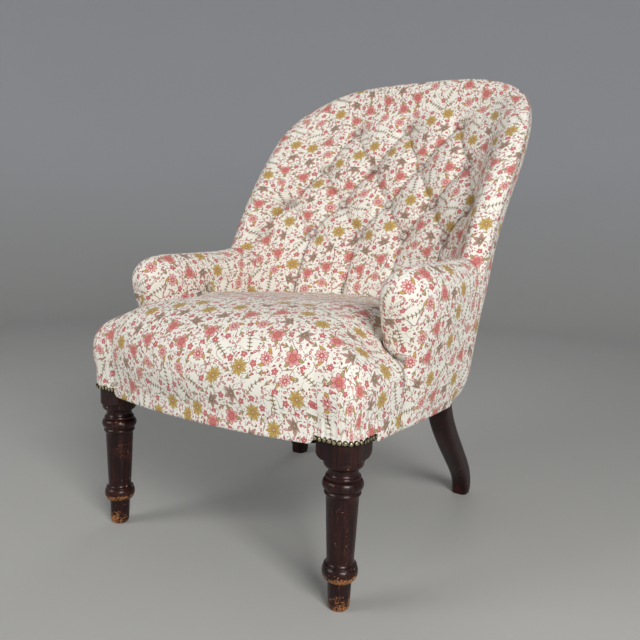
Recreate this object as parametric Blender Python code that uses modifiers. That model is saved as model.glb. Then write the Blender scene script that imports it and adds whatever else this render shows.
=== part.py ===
"""Upholstered slipper chair: turned front legs, swept rear legs and a buttoned tub back.

Metres, +Z up. The chair faces -Y and the sitter's left is +X. Everything is laid out from the
line between the two front leg axes (y = 0, z = 0 at the floor), and the finished chair hangs
from one empty that brings the middle of its footprint to the origin.
"""
import math

import bmesh
import bpy
from mathutils import Vector
from mathutils.bvhtree import BVHTree

# Fits
GAP = 0.0003                 # clearance between pieces that touch
SKIN_SEAT = 0.0012           # room between a show cover and the wood under it

# Front legs
LEG_SPACING = 0.440          # between the two front leg axes
LEG_BLOCK = 0.055            # side of the square block at the top of a leg
LEG_CORNER = 0.022           # rounding of the block's outer front edge
LEG_TURNED_TOP = 0.2075      # where the turning ends and the block begins
LEG_FLARE = 0.0165           # height over which the turning runs out into the block
LEG_STEPS = 24

# Seat frame
RAIL_BOTTOM = 0.2320
RAIL_HEIGHT = 0.0725
RAIL_THICK = 0.026
FRONT_BOW = 0.022            # how far the front rail bows forward
SIDE_RAIL_END = 0.004        # how far the side rails run past the middle of the rear legs
SIDE_RAIL_TUCK = 0.016       # how far the side rails draw in at the back
BRACE_REACH = 0.085          # corner brace, along each rail
BRACE_WIDTH = 0.030
BRACE_HEIGHT = 0.030

# Rear legs, each one piece with the upright of the back
REAR_FOOT_X = 0.195
REAR_FOOT_Y = 0.491
REAR_FOOT_SIZE = 0.030
STILE_WIDTH = 0.034
STILE_DEPTH = 0.038
STILE_CLEAR = 0.002
CHAMFER = 0.18               # cut corner of a leg or rail, against its width
LOW_FRAME_SHARE = 0.60       # place of the upper frame in the room inside the back
HIGH_FRAME_SHARE = 0.50
UPRIGHT_SCALE = 0.68         # section of the hidden upright against the leg below it
STILE_TOP_Z = 0.640
STILE_AT_RAIL = (0.205, 0.329)

# Seat
COVER = 0.0035               # cloth with its wadding
COVER_BOTTOM = 0.2280        # lower edge of the show cover
NAIL_Z = 0.2372              # line of dome nails at the leg tops
COVER_LEG_EDGE = 0.2330      # cut edge of the cover at a leg block
SEAT_BULGE = 0.006           # swell of the seat's sides past the frame
SEAT_FRONT_BULGE = 0.012
SEAT_BULGE_Z = 0.296
SEAT_CROWN_Z = 0.392
SEAT_NOSE_Z = 0.352          # height at which the seat meets an arm's nose
SEAT_MID_Y = 0.110
SEAT_SPLIT_Y = 0.115         # where the seat's rows pass from in front of the arms to between them
SEAT_REAR_FLAT = 0.55        # how much flatter the seat is across, between the arms
SEAT_BACK_FALL = 0.014
SEAT_DIP = 0.010             # dip in front of an arm's nose
SEAT_DIP_REACH = 0.050
SEAT_CORNER_FOOT = 0.362     # lower end of the seat's cover beside an upright
SEAT_BACK_GAP = 0.0040
SEAT_ARM_GAP = 0.003
SEAT_EDGE_MIN = 0.008        # least height of the seat's edge over its lower end
SEAT_CROWN_POWER = 3.2
SEAT_EDGE_POWER = 1.9
SEAT_SIDE_TUCK = 0.78        # share of the side over which its swell dies away
SEAT_SIDE_ROWS = (0.30, 0.62, 1.0)

# Springing
WEB_WIDTH = 0.050
WEB_THICK = 0.0016
WEB_PITCH = 0.100
SPRING_MID_Y = 0.156
SPRING_WIRE = 0.0019
SPRING_END_R = 0.038
SPRING_WAIST_R = 0.024
SPRING_TURNS = 4
HESSIAN_RISE = 0.030
HESSIAN_THICK = 0.0015
HESSIAN_LAP = 0.008          # how far the hessian lies on the rails
HESSIAN_SIDE_END = 0.303     # rear end of the hessian beside the uprights
STUFFING_GAP = 0.001
STUFFING_EDGE = 0.004

# Arms
ARM_WIDTH = 0.079
ARM_INNER_X = 0.205
ARM_TOP_Z = 0.457            # top of the arm where its nose starts
ARM_TOP_SLOPE = 0.05         # rise of the arm towards the back
ARM_ROLL = 0.042             # height of the arm's rounded top
ARM_FRONT_Y = 0.0935
ARM_NOSE = 0.072             # length of the rounded front end
ARM_NOSE_POWER = 3.0
ARM_NOSE_DROP = 0.012
ARM_NOSE_SWELL = 0.022       # how far the front end bulges over the seat
ARM_SWELL_END_Y = 0.300      # where the arm's outer swell has died away
ARM_WALL_SHARE = 0.4         # share of a section's points on its straight walls
ARM_PAD = 0.014
ARM_INNER_SKIRT_Z = 0.325
ARM_OUTER_SKIRT_Z = 0.309
ARM_BACK_GAP = 0.0015
ARM_POST_WIDTH = 0.016
ARM_POST_DEPTH = 0.040
ARM_POST_Y = 0.130
ARM_RAIL_Z = 0.398
ARM_RAIL_HEIGHT = 0.024
NOTCH_ROOM = 0.014           # room beside the arm rail where it passes the inside back

# Tub back: half width and rim of the back by height, and the slope of its middle line
BACK_TOP_Z = 0.817
BACK_WAIST_Z = 0.620         # where the straight sides turn into the arch
BACK_HALF = 0.279
BACK_ARCH_POWER = 3.35
BACK_PAD_BOTTOM = 0.366
SIDE_LINE = ((0.228, 0.2550), (0.290, 0.2675), (0.400, 0.2750), (0.480, 0.2735), (0.560, 0.2765))
RIM_LINE = ((0.228, 0.297), (0.360, 0.302), (0.480, 0.358), (0.557, 0.402), (0.634, 0.458),
            (0.711, 0.518), (0.749, 0.556), (0.790, 0.598), (0.820, 0.612))
PAD_LINE = ((0.340, 0.421), (0.495, 0.481), (0.557, 0.506), (0.632, 0.538), (0.716, 0.581), (0.820, 0.632))
REAR_LINE = ((0.228, 0.412), (0.820, 0.676))
TUB_POWER = 2.1
RIM_RADIUS = 0.032
RIM_GAP = 0.0015
RIM_EDGE = 0.007             # thickness of the stuffing where it ends on the rim
RIM_BLEND = 0.085            # where the rim roll has died into the tufted field
PAD_PUFF = 0.024             # height of the tufted pillows over the buttons
PAD_BACKING = 0.006          # stuffing left behind a button
LOWER_RAIL_Z = 0.375
LOWER_RAIL_THICK = 0.014
LOWER_RAIL_HEIGHT = 0.026
CREST_DEPTH = 0.016
CREST_GAP = 0.0008           # joint between the crest rail and an upright
CREST_INSET = 0.046

# Buttons: height of each row and its places along x
BUTTON_ROWS = ((0.716, (0.0, 0.119)), (0.632, (0.053, 0.161)), (0.557, (0.0, 0.103, 0.205)),
               (0.495, (0.051, 0.150, 0.222)))
BUTTON_RADIUS = 0.0080
BUTTON_THICK = 0.0050
TUFT_REACH = 0.021
PLEAT_REACH = 0.009
PLEAT_DEPTH = 0.42
ARM_BUTTON = (0.215, 0.394)  # y and z on the inner side of an arm

NAIL_RADIUS = 0.0034
NAIL_PITCH = 0.0072

# Sizes that follow
LEG_X = LEG_SPACING / 2
BLOCK_HALF = LEG_BLOCK / 2
RAIL_TOP = RAIL_BOTTOM + RAIL_HEIGHT
FRAME_X = LEG_X + BLOCK_HALF
COVER_OUT = SKIN_SEAT + COVER
SEAT_CORNER = LEG_CORNER + COVER_OUT
SEAT_RADIUS = SEAT_CORNER + SEAT_BULGE
SEAT_HALF = FRAME_X + COVER_OUT + SEAT_BULGE
ARM_NOSE_Y = ARM_FRONT_Y + ARM_NOSE
ARM_MID_X = ARM_INNER_X + ARM_WIDTH / 2
HESSIAN_HALF = FRAME_X - RAIL_THICK + HESSIAN_LAP
ARM_OUTER_X = ARM_INNER_X + ARM_WIDTH
WEB_WEAVE = (WEB_THICK + GAP) / 2
WEB_Z = RAIL_BOTTOM - GAP - WEB_THICK / 2 - WEB_WEAVE


def blend(a, b, t):
    return a + (b - a) * t


def smoothstep(a, b, x):
    t = min(1.0, max(0.0, (x - a) / (b - a)))
    return t * t * (3 - 2 * t)


def line_at(points, x):
    """Smooth curve through hand-set points, straight past its ends."""
    count = len(points)
    slopes = []
    for i in range(count):
        low, high = max(0, i - 1), min(count - 1, i + 1)
        slopes.append((points[high][1] - points[low][1]) / (points[high][0] - points[low][0]))
    if x <= points[0][0]:
        return points[0][1] + (x - points[0][0]) * slopes[0]
    if x >= points[-1][0]:
        return points[-1][1] + (x - points[-1][0]) * slopes[-1]
    i = max(k for k in range(count - 1) if points[k][0] <= x)
    span = points[i + 1][0] - points[i][0]
    t = (x - points[i][0]) / span
    a, b = points[i][1], points[i + 1][1]
    bend_a, bend_b = slopes[i] * span, slopes[i + 1] * span
    return (a * (1 + 2 * t) * (1 - t) ** 2 + bend_a * t * (1 - t) ** 2
            + b * t * t * (3 - 2 * t) + bend_b * t * t * (t - 1))


# The tub back as surfaces y(x, z)

def side_x(z):
    """Half width of the chair's outer side at a height."""
    if z <= BACK_WAIST_Z:
        return line_at(SIDE_LINE + ((BACK_WAIST_Z, BACK_HALF),), z)
    rise = min(1.0, (z - BACK_WAIST_Z) / (BACK_TOP_Z - BACK_WAIST_Z))
    return BACK_HALF * (1 - rise ** BACK_ARCH_POWER) ** (1 / BACK_ARCH_POWER)


def rim_place(x, z):
    """Distance in from the outline of the back, and the rim's y at the nearest edge."""
    x = abs(x)
    if z <= BACK_WAIST_Z:
        return side_x(z) - x, line_at(RIM_LINE, z)
    rise = (z - BACK_WAIST_Z) / (BACK_TOP_Z - BACK_WAIST_Z)
    power = BACK_ARCH_POWER
    share = ((x / BACK_HALF) ** power + rise ** power) ** (1 / power)
    radius = math.hypot(x, z - BACK_WAIST_Z)
    edge_z = BACK_WAIST_Z + (z - BACK_WAIST_Z) / max(share, 1e-6)
    return radius * (1 / max(share, 1e-6) - 1), line_at(RIM_LINE, edge_z)


def tub_depth(z):
    return line_at(PAD_LINE, z) - line_at(RIM_LINE, z) - 0.01


def pad_base(x, z):
    """Surface through the button seats."""
    reach = min(1.0, abs(x) / max(side_x(min(z, BACK_WAIST_Z)), 1e-6))
    return line_at(PAD_LINE, z) - tub_depth(z) * reach ** TUB_POWER


def buttons():
    places = []
    for z, row in BUTTON_ROWS:
        for x in row:
            places.append((x, z))
            if x:
                places.append((-x, z))
    return sorted(places, key=lambda p: (-p[1], p[0]))


def pleats():
    """Creases from each button to its neighbours in the next row, and down to the seat."""
    lines = []
    rows = [sorted({s * x for x in row for s in (-1, 1)}) for z, row in BUTTON_ROWS]
    heights = [z for z, row in BUTTON_ROWS]
    reach = max(abs(rows[1][1] - rows[1][0]), 0.001)
    for k in range(len(rows) - 1):
        for a in rows[k]:
            for b in rows[k + 1]:
                if abs(a - b) < 0.75 * reach:
                    lines.append(((a, heights[k]), (b, heights[k + 1])))
    for a in rows[-1]:
        lines.append(((a, heights[-1]), (a, BACK_PAD_BOTTOM - 0.05)))
    return lines


BUTTONS = buttons()
PLEATS = pleats()


def segment_distance(p, a, b):
    ax, ay = a
    dx, dy = b[0] - ax, b[1] - ay
    t = ((p[0] - ax) * dx + (p[1] - ay) * dy) / (dx * dx + dy * dy)
    t = min(1.0, max(0.0, t))
    return math.hypot(p[0] - ax - t * dx, p[1] - ay - t * dy)


def tuft(x, z):
    """Height of the tufted pillow over the button surface, from 0 at a button to 1."""
    to_button = min(math.hypot(x - bx, z - bz) for bx, bz in BUTTONS)
    to_pleat = min(segment_distance((x, z), a, b) for a, b in PLEATS)
    swell = 1 - math.exp(-(to_button / TUFT_REACH) ** 1.2)
    height = swell * (1 - PLEAT_DEPTH * math.exp(-(to_pleat / PLEAT_REACH) ** 1.5))
    beside_arm = smoothstep(ARM_INNER_X - 0.035, ARM_INNER_X - 0.01, abs(x))
    below_top = 1 - smoothstep(ARM_TOP_Z - 0.02, ARM_TOP_Z + 0.015, z)
    return blend(height, 1.0, beside_arm * below_top)


def roll_front(x, z):
    inset, rim_y = rim_place(x, z)
    depth = min(1.0, max(0.0, (RIM_RADIUS - inset) / RIM_RADIUS))
    rise = math.sqrt(max(0.0, 1 - depth * depth))
    return rim_y - RIM_EDGE - (RIM_RADIUS - RIM_EDGE) * rise, inset


def pad_front(x, z, tufted=True):
    """Front of the inside back: tufted field, running out into the rim roll."""
    roll, inset = roll_front(x, z)
    puff = tuft(x, z) if tufted else 1.0
    field = pad_base(x, z) - PAD_PUFF * puff
    near_rim = 1 - smoothstep(RIM_RADIUS * 0.8, RIM_BLEND, inset)
    return blend(field, roll, near_rim)


def back_outer(x, z, thick=0.0):
    """Outside of the back, an ellipse in plan at each height, or its inner face."""
    inset, rim_y = rim_place(x, z)
    edge = side_x(min(z, BACK_WAIST_Z))
    share = min(1.0, max(0.0, 1 - inset / edge))
    bulge = line_at(REAR_LINE, z) - rim_y - thick
    return rim_y + bulge * math.sqrt(max(0.0, 1 - share * share))


def pad_rear(x, z):
    """Back of the stuffing: behind the buttons, and closing on the rim."""
    inset, rim_y = rim_place(x, z)
    seat = pad_base(x, z) + PAD_BACKING
    near_rim = 1 - smoothstep(0.004, RIM_BLEND, inset)
    return blend(seat, rim_y - RIM_GAP, near_rim)


def back_patch(u, w, bottom):
    """Point (x, z) of the back's outline area: u across, w from -1 at the bottom to 1 at the arch."""
    if w <= 0:
        z = blend(BACK_WAIST_Z, bottom, -w)
        return u * side_x(z), z
    power = BACK_ARCH_POWER
    x = u * BACK_HALF * (1 - w ** power / 2) ** (1 / power)
    rise = w * (1 - abs(u) ** power / 2) ** (1 / power)
    return x, blend(BACK_WAIST_Z, BACK_TOP_Z, rise)


# Building helpers

def material(name, colour, roughness, metallic=0.0):
    mat = bpy.data.materials.new(name)
    mat.use_nodes = True
    shader = mat.node_tree.nodes["Principled BSDF"]
    shader.inputs["Base Color"].default_value = (*colour, 1.0)
    shader.inputs["Roughness"].default_value = roughness
    shader.inputs["Metallic"].default_value = metallic
    return mat


def clear_scene():
    for obj in list(bpy.data.objects):
        bpy.data.objects.remove(obj, do_unlink=True)


def new_collection(name):
    group = bpy.data.collections.new(name)
    bpy.context.scene.collection.children.link(group)
    return group


clear_scene()
CHAIR = new_collection("slipper_chair")
CUTTERS = new_collection("cutters")
ROOT = bpy.data.objects.new("chair_root", None)
CHAIR.objects.link(ROOT)

SHOW_WOOD = material("stained_hardwood", (0.030, 0.012, 0.010), 0.30)
FRAME_WOOD = material("beech", (0.46, 0.30, 0.17), 0.60)
COTTON = material("printed_cotton", (0.72, 0.62, 0.55), 0.85)
STUFFING = material("stuffing", (0.35, 0.28, 0.20), 0.95)
JUTE = material("jute", (0.42, 0.31, 0.18), 0.90)
STEEL = material("spring_steel", (0.30, 0.30, 0.31), 0.35, 1.0)
BRASS = material("antique_brass", (0.35, 0.26, 0.12), 0.35, 1.0)
DUST_CLOTH = material("black_cloth", (0.02, 0.02, 0.02), 0.95)


def add_object(name, data, mat, smooth_angle=None):
    obj = bpy.data.objects.new(name, data)
    data.materials.append(mat)
    CHAIR.objects.link(obj)
    obj.parent = ROOT
    if smooth_angle is not None:
        data.shade_smooth()
        data.set_sharp_from_angle(angle=math.radians(smooth_angle))
    return obj


def add_cutter(name, data):
    obj = bpy.data.objects.new(name, data)
    CUTTERS.objects.link(obj)
    obj.parent = ROOT
    obj.hide_render = True
    obj.display_type = "WIRE"
    return obj


def boolean(obj, other, operation):
    mod = obj.modifiers.new(operation.lower(), "BOOLEAN")
    mod.object = other
    mod.operation = operation
    mod.solver = "EXACT"


def box_mesh(name, low, high):
    mesh = bpy.data.meshes.new(name)
    bm = bmesh.new()
    bmesh.ops.create_cube(bm, size=1.0)
    for vert in bm.verts:
        vert.co = Vector([blend(low[k], high[k], vert.co[k] + 0.5) for k in range(3)])
    bm.to_mesh(mesh)
    bm.free()
    return mesh


def turned_mesh(name, profile, steps, obj_maker):
    """Profile of (radius, height) from the top down, turned about the upright axis."""
    mesh = bpy.data.meshes.new(name)
    mesh.from_pydata([(r, 0.0, z) for r, z in profile], [(i, i + 1) for i in range(len(profile) - 1)], [])
    obj = obj_maker(name, mesh)
    screw = obj.modifiers.new("turn", "SCREW")
    screw.steps = steps
    screw.render_steps = steps
    screw.use_merge_vertices = True
    screw.merge_threshold = 0.00001
    return obj


def plank(name, outline, low, high, mat):
    """Flat outline (x, y) sawn from a board between two heights."""
    curve = bpy.data.curves.new(name, "CURVE")
    curve.dimensions = "2D"
    curve.fill_mode = "BOTH"
    curve.extrude = (high - low) / 2
    spline = curve.splines.new("POLY")
    spline.points.add(len(outline) - 1)
    for point, (x, y) in zip(spline.points, outline):
        point.co = (x, y, 0.0, 1.0)
    spline.use_cyclic_u = True
    obj = add_object(name, curve, mat)
    obj.location.z = (low + high) / 2
    return obj


def chamfered(width, depth):
    """Corners of a rectangle with chamfered edges, anticlockwise."""
    cut = CHAMFER * min(width, depth)
    w, d = width / 2, depth / 2
    return [(w, cut - d), (w, d - cut), (w - cut, d), (cut - w, d),
            (-w, d - cut), (-w, cut - d), (cut - w, -d), (w - cut, -d)]


def bar(name, path, width, depth, mat):
    """Bar of chamfered section along a path of points."""
    section = bpy.data.curves.new(name + "_section", "CURVE")
    section.dimensions = "2D"
    ring = section.splines.new("POLY")
    corners = chamfered(width, depth)
    ring.points.add(len(corners) - 1)
    for point, (a, b) in zip(ring.points, reversed(corners)):
        point.co = (a, b, 0.0, 1.0)
    ring.use_cyclic_u = True
    curve = bpy.data.curves.new(name, "CURVE")
    curve.dimensions = "3D"
    curve.twist_mode = "Z_UP"
    curve.bevel_mode = "OBJECT"
    curve.bevel_object = add_cutter(name + "_section", section)
    curve.use_fill_caps = True
    spline = curve.splines.new("POLY")
    spline.points.add(len(path) - 1)
    for point, place in zip(spline.points, path):
        point.co = (*place, 1.0)
    return add_object(name, curve, mat)


def skin_faces(rows, columns, cyclic=False, keep=None):
    """Quads of a grid of rows by columns, with vertex index row * columns + column."""
    faces = []
    for i in range(rows - 1):
        for j in range(columns if cyclic else columns - 1):
            if keep is None or keep(i, j):
                k = (j + 1) % columns
                faces.append((i * columns + j, i * columns + k, (i + 1) * columns + k, (i + 1) * columns + j))
    return faces


def shell(name, outer, inner, faces, mat):
    """Closed shell between two skins of the same layout. Faces turn outwards on the outer skin."""
    first = {}
    same = [first.setdefault(tuple(round(c, 6) for c in p), i) for i, p in enumerate(outer)]
    faces = [tuple(dict.fromkeys(same[i] for i in face)) for face in faces]
    faces = [face for face in faces if len(face) > 2]
    seam = {}
    for face in faces:
        for a, b in zip(face, face[1:] + face[:1]):
            if (b, a) in seam:
                del seam[(b, a)]
            else:
                seam[(a, b)] = True
    count = len(outer)
    solid = faces + [tuple(count + i for i in reversed(face)) for face in faces]
    solid += [(b, a, count + a, count + b) for a, b in seam]
    mesh = bpy.data.meshes.new(name)
    bm = bmesh.new()
    verts = [bm.verts.new(p) for p in list(outer) + list(inner)]
    for face in solid:
        bm.faces.new([verts[i] for i in face])
    bmesh.ops.delete(bm, geom=[v for v in bm.verts if not v.link_faces], context="VERTS")
    bmesh.ops.triangulate(bm, faces=bm.faces)
    bmesh.ops.recalc_face_normals(bm, faces=bm.faces)
    bm.to_mesh(mesh)
    bm.free()
    return add_object(name, mesh, mat, smooth_angle=50)


# Legs

def front_leg(name, side):
    """Turned leg with its square block, which runs up inside the seat to the top of the rails."""
    foot, peg, ring, shaft = 0.0140, 0.0158, 0.0239, 0.0205
    profile = [(0.0, RAIL_TOP - 0.02), (0.018, RAIL_TOP - 0.02), (0.018, LEG_TURNED_TOP + 0.004),
               (0.0262, LEG_TURNED_TOP), (0.0243, 0.2014), (0.0195, 0.1957), (0.0201, 0.1909),
               (0.0232, 0.1865), (0.0236, 0.1835), (0.0222, 0.1812), (0.0255, 0.1782), (0.0272, 0.1729),
               (0.0262, 0.1688), (0.0242, 0.1664), (0.0234, 0.1622), (shaft, 0.1582), (0.0198, 0.1359),
               (0.0192, 0.1110), (0.0182, 0.0859), (0.0176, 0.0665), (0.0199, 0.0613), (0.0232, 0.0562),
               (ring, 0.0512), (0.0228, 0.0460), (0.0207, 0.0418), (peg, 0.0358), (0.0151, 0.0179),
               (foot, 0.0035), (0.0115, 0.0), (0.0, 0.0)]
    leg = turned_mesh(name, profile, LEG_STEPS, lambda n, m: add_object(n, m, SHOW_WOOD))
    leg.data.shade_smooth()
    low = (-BLOCK_HALF, -BLOCK_HALF, LEG_TURNED_TOP)
    high = (BLOCK_HALF, BLOCK_HALF, RAIL_TOP)
    mesh = box_mesh(name + "_block", low, high)
    bm = bmesh.new()
    bm.from_mesh(mesh)
    edges = [e for e in bm.edges
             if all(v.co.x * side > 0 and v.co.y < 0 for v in e.verts)]
    bmesh.ops.bevel(bm, geom=edges, offset=LEG_CORNER, segments=4, profile=0.5, affect="EDGES")
    bm.to_mesh(mesh)
    bm.free()
    block = add_cutter(name + "_block", mesh)
    wide = LEG_BLOCK
    run_out = [(0.0, RAIL_TOP + 0.01), (wide, RAIL_TOP + 0.01), (wide, LEG_TURNED_TOP + LEG_FLARE * 2)]
    for k in range(5, -1, -1):
        flare = blend(0.0262, 0.0400, (k / 5) ** 1.6)
        run_out.append((flare, LEG_TURNED_TOP + LEG_FLARE * k / 5))
    run_out += [(0.0, LEG_TURNED_TOP)]
    envelope = turned_mesh(name + "_run_out", run_out, LEG_STEPS, add_cutter)
    boolean(block, envelope, "INTERSECT")
    boolean(leg, block, "UNION")
    for obj in (leg, block, envelope):
        obj.location.x = side * LEG_X
    return leg


def cavity_mid(x, z):
    """Line of the frame in the room between the stuffing and the outside back."""
    share = blend(LOW_FRAME_SHARE, HIGH_FRAME_SHARE, smoothstep(ARM_RAIL_Z, BACK_WAIST_Z, z))
    return blend(pad_rear(x, z), back_outer(x, z) - COVER, share)


def frame_place(z):
    """Place of an upright inside the back, at a height."""
    x = side_x(z) - CREST_INSET
    return x, cavity_mid(x, z)


def stile_front(z):
    """Place of an upright and the y of its front face at a height."""
    x, y = frame_place(z)
    step = 0.01
    slope = (frame_place(z + step)[1] - frame_place(z - step)[1]) / (2 * step)
    return x, y - UPRIGHT_SCALE * STILE_DEPTH / 2 * math.hypot(1.0, slope) - STILE_CLEAR


def stile_path(side):
    """Rear leg and upright: swept foot, through the seat frame, then up inside the back."""
    rail_x, rail_y = STILE_AT_RAIL
    lower = [(0.0, 0.0, 0.0), (0.0, 0.0, 0.020), (0.12, 0.10, 0.050), (0.30, 0.33, 0.090),
             (0.5, 0.60, 0.135), (0.7, 0.83, 0.180), (1.0, 1.0, RAIL_BOTTOM), (1.0, 1.0, RAIL_TOP + 0.010)]
    path = [(blend(REAR_FOOT_X, rail_x, a), blend(REAR_FOOT_Y, rail_y, b), z) for a, b, z in lower]
    steps = 5
    for k in range(steps + 1):
        z = blend(BACK_PAD_BOTTOM - 0.008, STILE_TOP_Z, k / steps)
        path.append((*frame_place(z), z))
    return [(side * x, y, z) for x, y, z in path]


def rear_leg(name, side):
    """Rings across the leg's path, level at the foot so that it stands flat."""
    path = stile_path(side)
    mesh = bpy.data.meshes.new(name)
    bm = bmesh.new()
    rings = []
    for k, (x, y, z) in enumerate(path):
        below, above = path[max(0, k - 1)], path[min(len(path) - 1, k + 1)]
        lean = math.atan2(above[1] - below[1], above[2] - below[2]) if k else 0.0
        scale = blend(REAR_FOOT_SIZE / STILE_DEPTH, 1.0, min(1.0, z / RAIL_BOTTOM))
        scale *= blend(1.0, UPRIGHT_SCALE, smoothstep(RAIL_TOP, BACK_PAD_BOTTOM - 0.01, z))
        rings.append([bm.verts.new((x + a, y + b * math.cos(lean), z - b * math.sin(lean)))
                      for a, b in chamfered(STILE_WIDTH * scale, STILE_DEPTH * scale)])
    for low, high in zip(rings, rings[1:]):
        for i in range(len(low)):
            j = (i + 1) % len(low)
            bm.faces.new((low[i], low[j], high[j], high[i]))
    bm.faces.new(list(reversed(rings[0])))
    bm.faces.new(rings[-1])
    bm.to_mesh(mesh)
    bm.free()
    return add_object(name, mesh, SHOW_WOOD, smooth_angle=50)


# Arms: a loaf with a rounded nose

def arm_outer_x(y, z):
    """Outer side of an arm: the chair's side, swelling to the arm's full width at the roll."""
    by_height = smoothstep(SEAT_BULGE_Z, ARM_TOP_Z - ARM_ROLL, z)
    by_depth = 1 - smoothstep(ARM_NOSE_Y, ARM_SWELL_END_Y, y)
    return blend(side_x(z), ARM_OUTER_X, by_height * by_depth)


def arm_wall_top(y):
    """Where the straight sides of an arm turn into its rounded top."""
    return ARM_TOP_Z + ARM_TOP_SLOPE * (y - ARM_NOSE_Y) - ARM_ROLL


def arm_skirt_z(x):
    """Lower edge of the arm pad: over the hessian inside, lower at the outer side."""
    outwards = smoothstep(FRAME_X - RAIL_THICK / 2, FRAME_X + COVER_OUT, x)
    return blend(ARM_INNER_SKIRT_Z, ARM_OUTER_SKIRT_Z, outwards)


def nose_y(x, z):
    """Front of an arm in plan, at a height."""
    off = min(1.0, abs(x - ARM_MID_X) / (ARM_WIDTH / 2))
    return ARM_NOSE_Y - nose_length(z) * (1 - off ** ARM_NOSE_POWER) ** (1 / ARM_NOSE_POWER)


def nose_length(z):
    """Length of an arm's rounded front end, fullest a little below the roll."""
    return ARM_NOSE + ARM_NOSE_SWELL * smoothstep(ARM_INNER_SKIRT_Z, ARM_TOP_Z - ARM_ROLL, z)


def arm_point(place, arc, pad):
    """Point on an arm: place 0 at the back, 1 where the nose starts, 2 at its tip; arc 0 at the
    inner lower edge, 0.5 on top and 1 at the outer lower edge; pad is the depth below the skin."""
    turn = math.radians(90) * max(0.0, place - 1)
    narrow = max(0.0, math.cos(turn)) ** (2 / ARM_NOSE_POWER) if place < 2 else 0.0
    y = ARM_NOSE_Y if place >= 1 else blend(RIM_LINE[0][1], ARM_NOSE_Y, place)
    wall_top = arm_wall_top(y) - ARM_NOSE_DROP * (1 - narrow)
    climb = 1 - abs(2 * arc - 1)
    outer_pad = min(pad, COVER)
    if climb <= ARM_WALL_SHARE:
        reach = 1.0
        edge = arm_outer_x(y, wall_top) - outer_pad if arc > 0.5 else ARM_INNER_X + pad
        z = blend(arm_skirt_z(blend(ARM_MID_X, edge, narrow)), wall_top, climb / ARM_WALL_SHARE)
    else:
        angle = math.radians(90) * (climb - ARM_WALL_SHARE) / (1 - ARM_WALL_SHARE)
        reach = math.cos(angle)
        z = wall_top + (ARM_ROLL - pad) * math.sin(angle) * narrow
    edge = arm_outer_x(y, z) - outer_pad if arc > 0.5 else ARM_INNER_X + pad
    x = blend(ARM_MID_X, edge, reach * narrow)
    if place >= 1:
        y -= (nose_length(z) - pad) * math.sin(turn) ** (2 / ARM_NOSE_POWER)
    else:
        back_y = min(pad_front(x, max(z, BACK_PAD_BOTTOM), False), line_at(RIM_LINE, z)) - ARM_BACK_GAP
        y = blend(back_y, ARM_NOSE_Y, place)
    return x, y, z


ARM_PLACES = (0.0, 0.33, 0.67, 1.0, 1.3, 1.55, 1.8, 2.0)
ARM_ARCS = 20


def inside_arm(name, side):
    """Pad over the inner side, the top and the nose of an arm. The outer side has its own panel."""
    arcs = [k / ARM_ARCS for k in range(ARM_ARCS + 1)]
    skins = []
    for pad in (0.0, ARM_PAD):
        points = [arm_point(place, arc, pad) for place in ARM_PLACES for arc in arcs]
        skins.append([(side * x, y, z) for x, y, z in points])
    first_outer = round(ARM_ARCS * (1 - ARM_WALL_SHARE / 2))
    faces = skin_faces(len(ARM_PLACES), ARM_ARCS + 1,
                       keep=lambda i, j: j < first_outer or ARM_PLACES[i] >= 1)
    return shell(name, *skins, faces, COTTON)


def outside_arm(name, side):
    """Panel on the outer side, from the roll and the nose down to the lower edge of the rail."""
    low_rows = [blend(COVER_BOTTOM, ARM_OUTER_SKIRT_Z - GAP, k / 3) for k in range(4)]
    high_rows = 3
    columns = 5
    outer = []
    for i in range(len(low_rows) + high_rows):
        for j in range(columns + 1):
            along = max(0.0, (j - 1) / (columns - 1))
            z = low_rows[min(i, len(low_rows) - 1)]
            y = blend(ARM_NOSE_Y + GAP, line_at(RIM_LINE, z) - GAP, along)
            if i >= len(low_rows):
                z = blend(z, arm_wall_top(y) - GAP, (i - len(low_rows) + 1) / high_rows)
                y = blend(ARM_NOSE_Y + GAP, line_at(RIM_LINE, z) - GAP, along)
            if j == 0:
                y = ARM_FRONT_Y
            outer.append((arm_outer_x(y, z), y, z))
    inner = [(x - COVER, y, z) for x, y, z in outer]
    faces = skin_faces(len(low_rows) + high_rows, columns + 1,
                       keep=lambda i, j: j > 0 or i < len(low_rows) - 1)
    skins = [[(side * x, y, z) for x, y, z in skin] for skin in (outer, inner)]
    return shell(name, *skins, faces, COTTON)


def arm_frame(word, side):
    """Post on the side rail and the rail over it, which runs back to the upright."""
    outer = FRAME_X
    inner = outer - ARM_POST_WIDTH
    front, rear = ARM_POST_Y, ARM_POST_Y + ARM_POST_DEPTH
    post = box_mesh("arm_post_" + word, (inner, front, RAIL_TOP + GAP), (outer, rear, ARM_RAIL_Z - GAP))
    post.transform(((side, 0, 0, 0), (0, 1, 0, 0), (0, 0, 1, 0), (0, 0, 0, 1)))
    if side < 0:
        post.flip_normals()
    add_object("arm_post_" + word, post, FRAME_WOOD)
    low, high = ARM_RAIL_Z, ARM_RAIL_Z + ARM_RAIL_HEIGHT
    x_back, y_back = stile_front(low)
    outline = [(inner, front), (outer, front), (outer, rear), (x_back + ARM_POST_WIDTH / 2, y_back),
               (x_back - ARM_POST_WIDTH / 2, y_back), (inner, rear)]
    return plank("arm_rail_" + word, [(side * x, y) for x, y in outline], low, high, FRAME_WOOD)


# Seat

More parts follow.
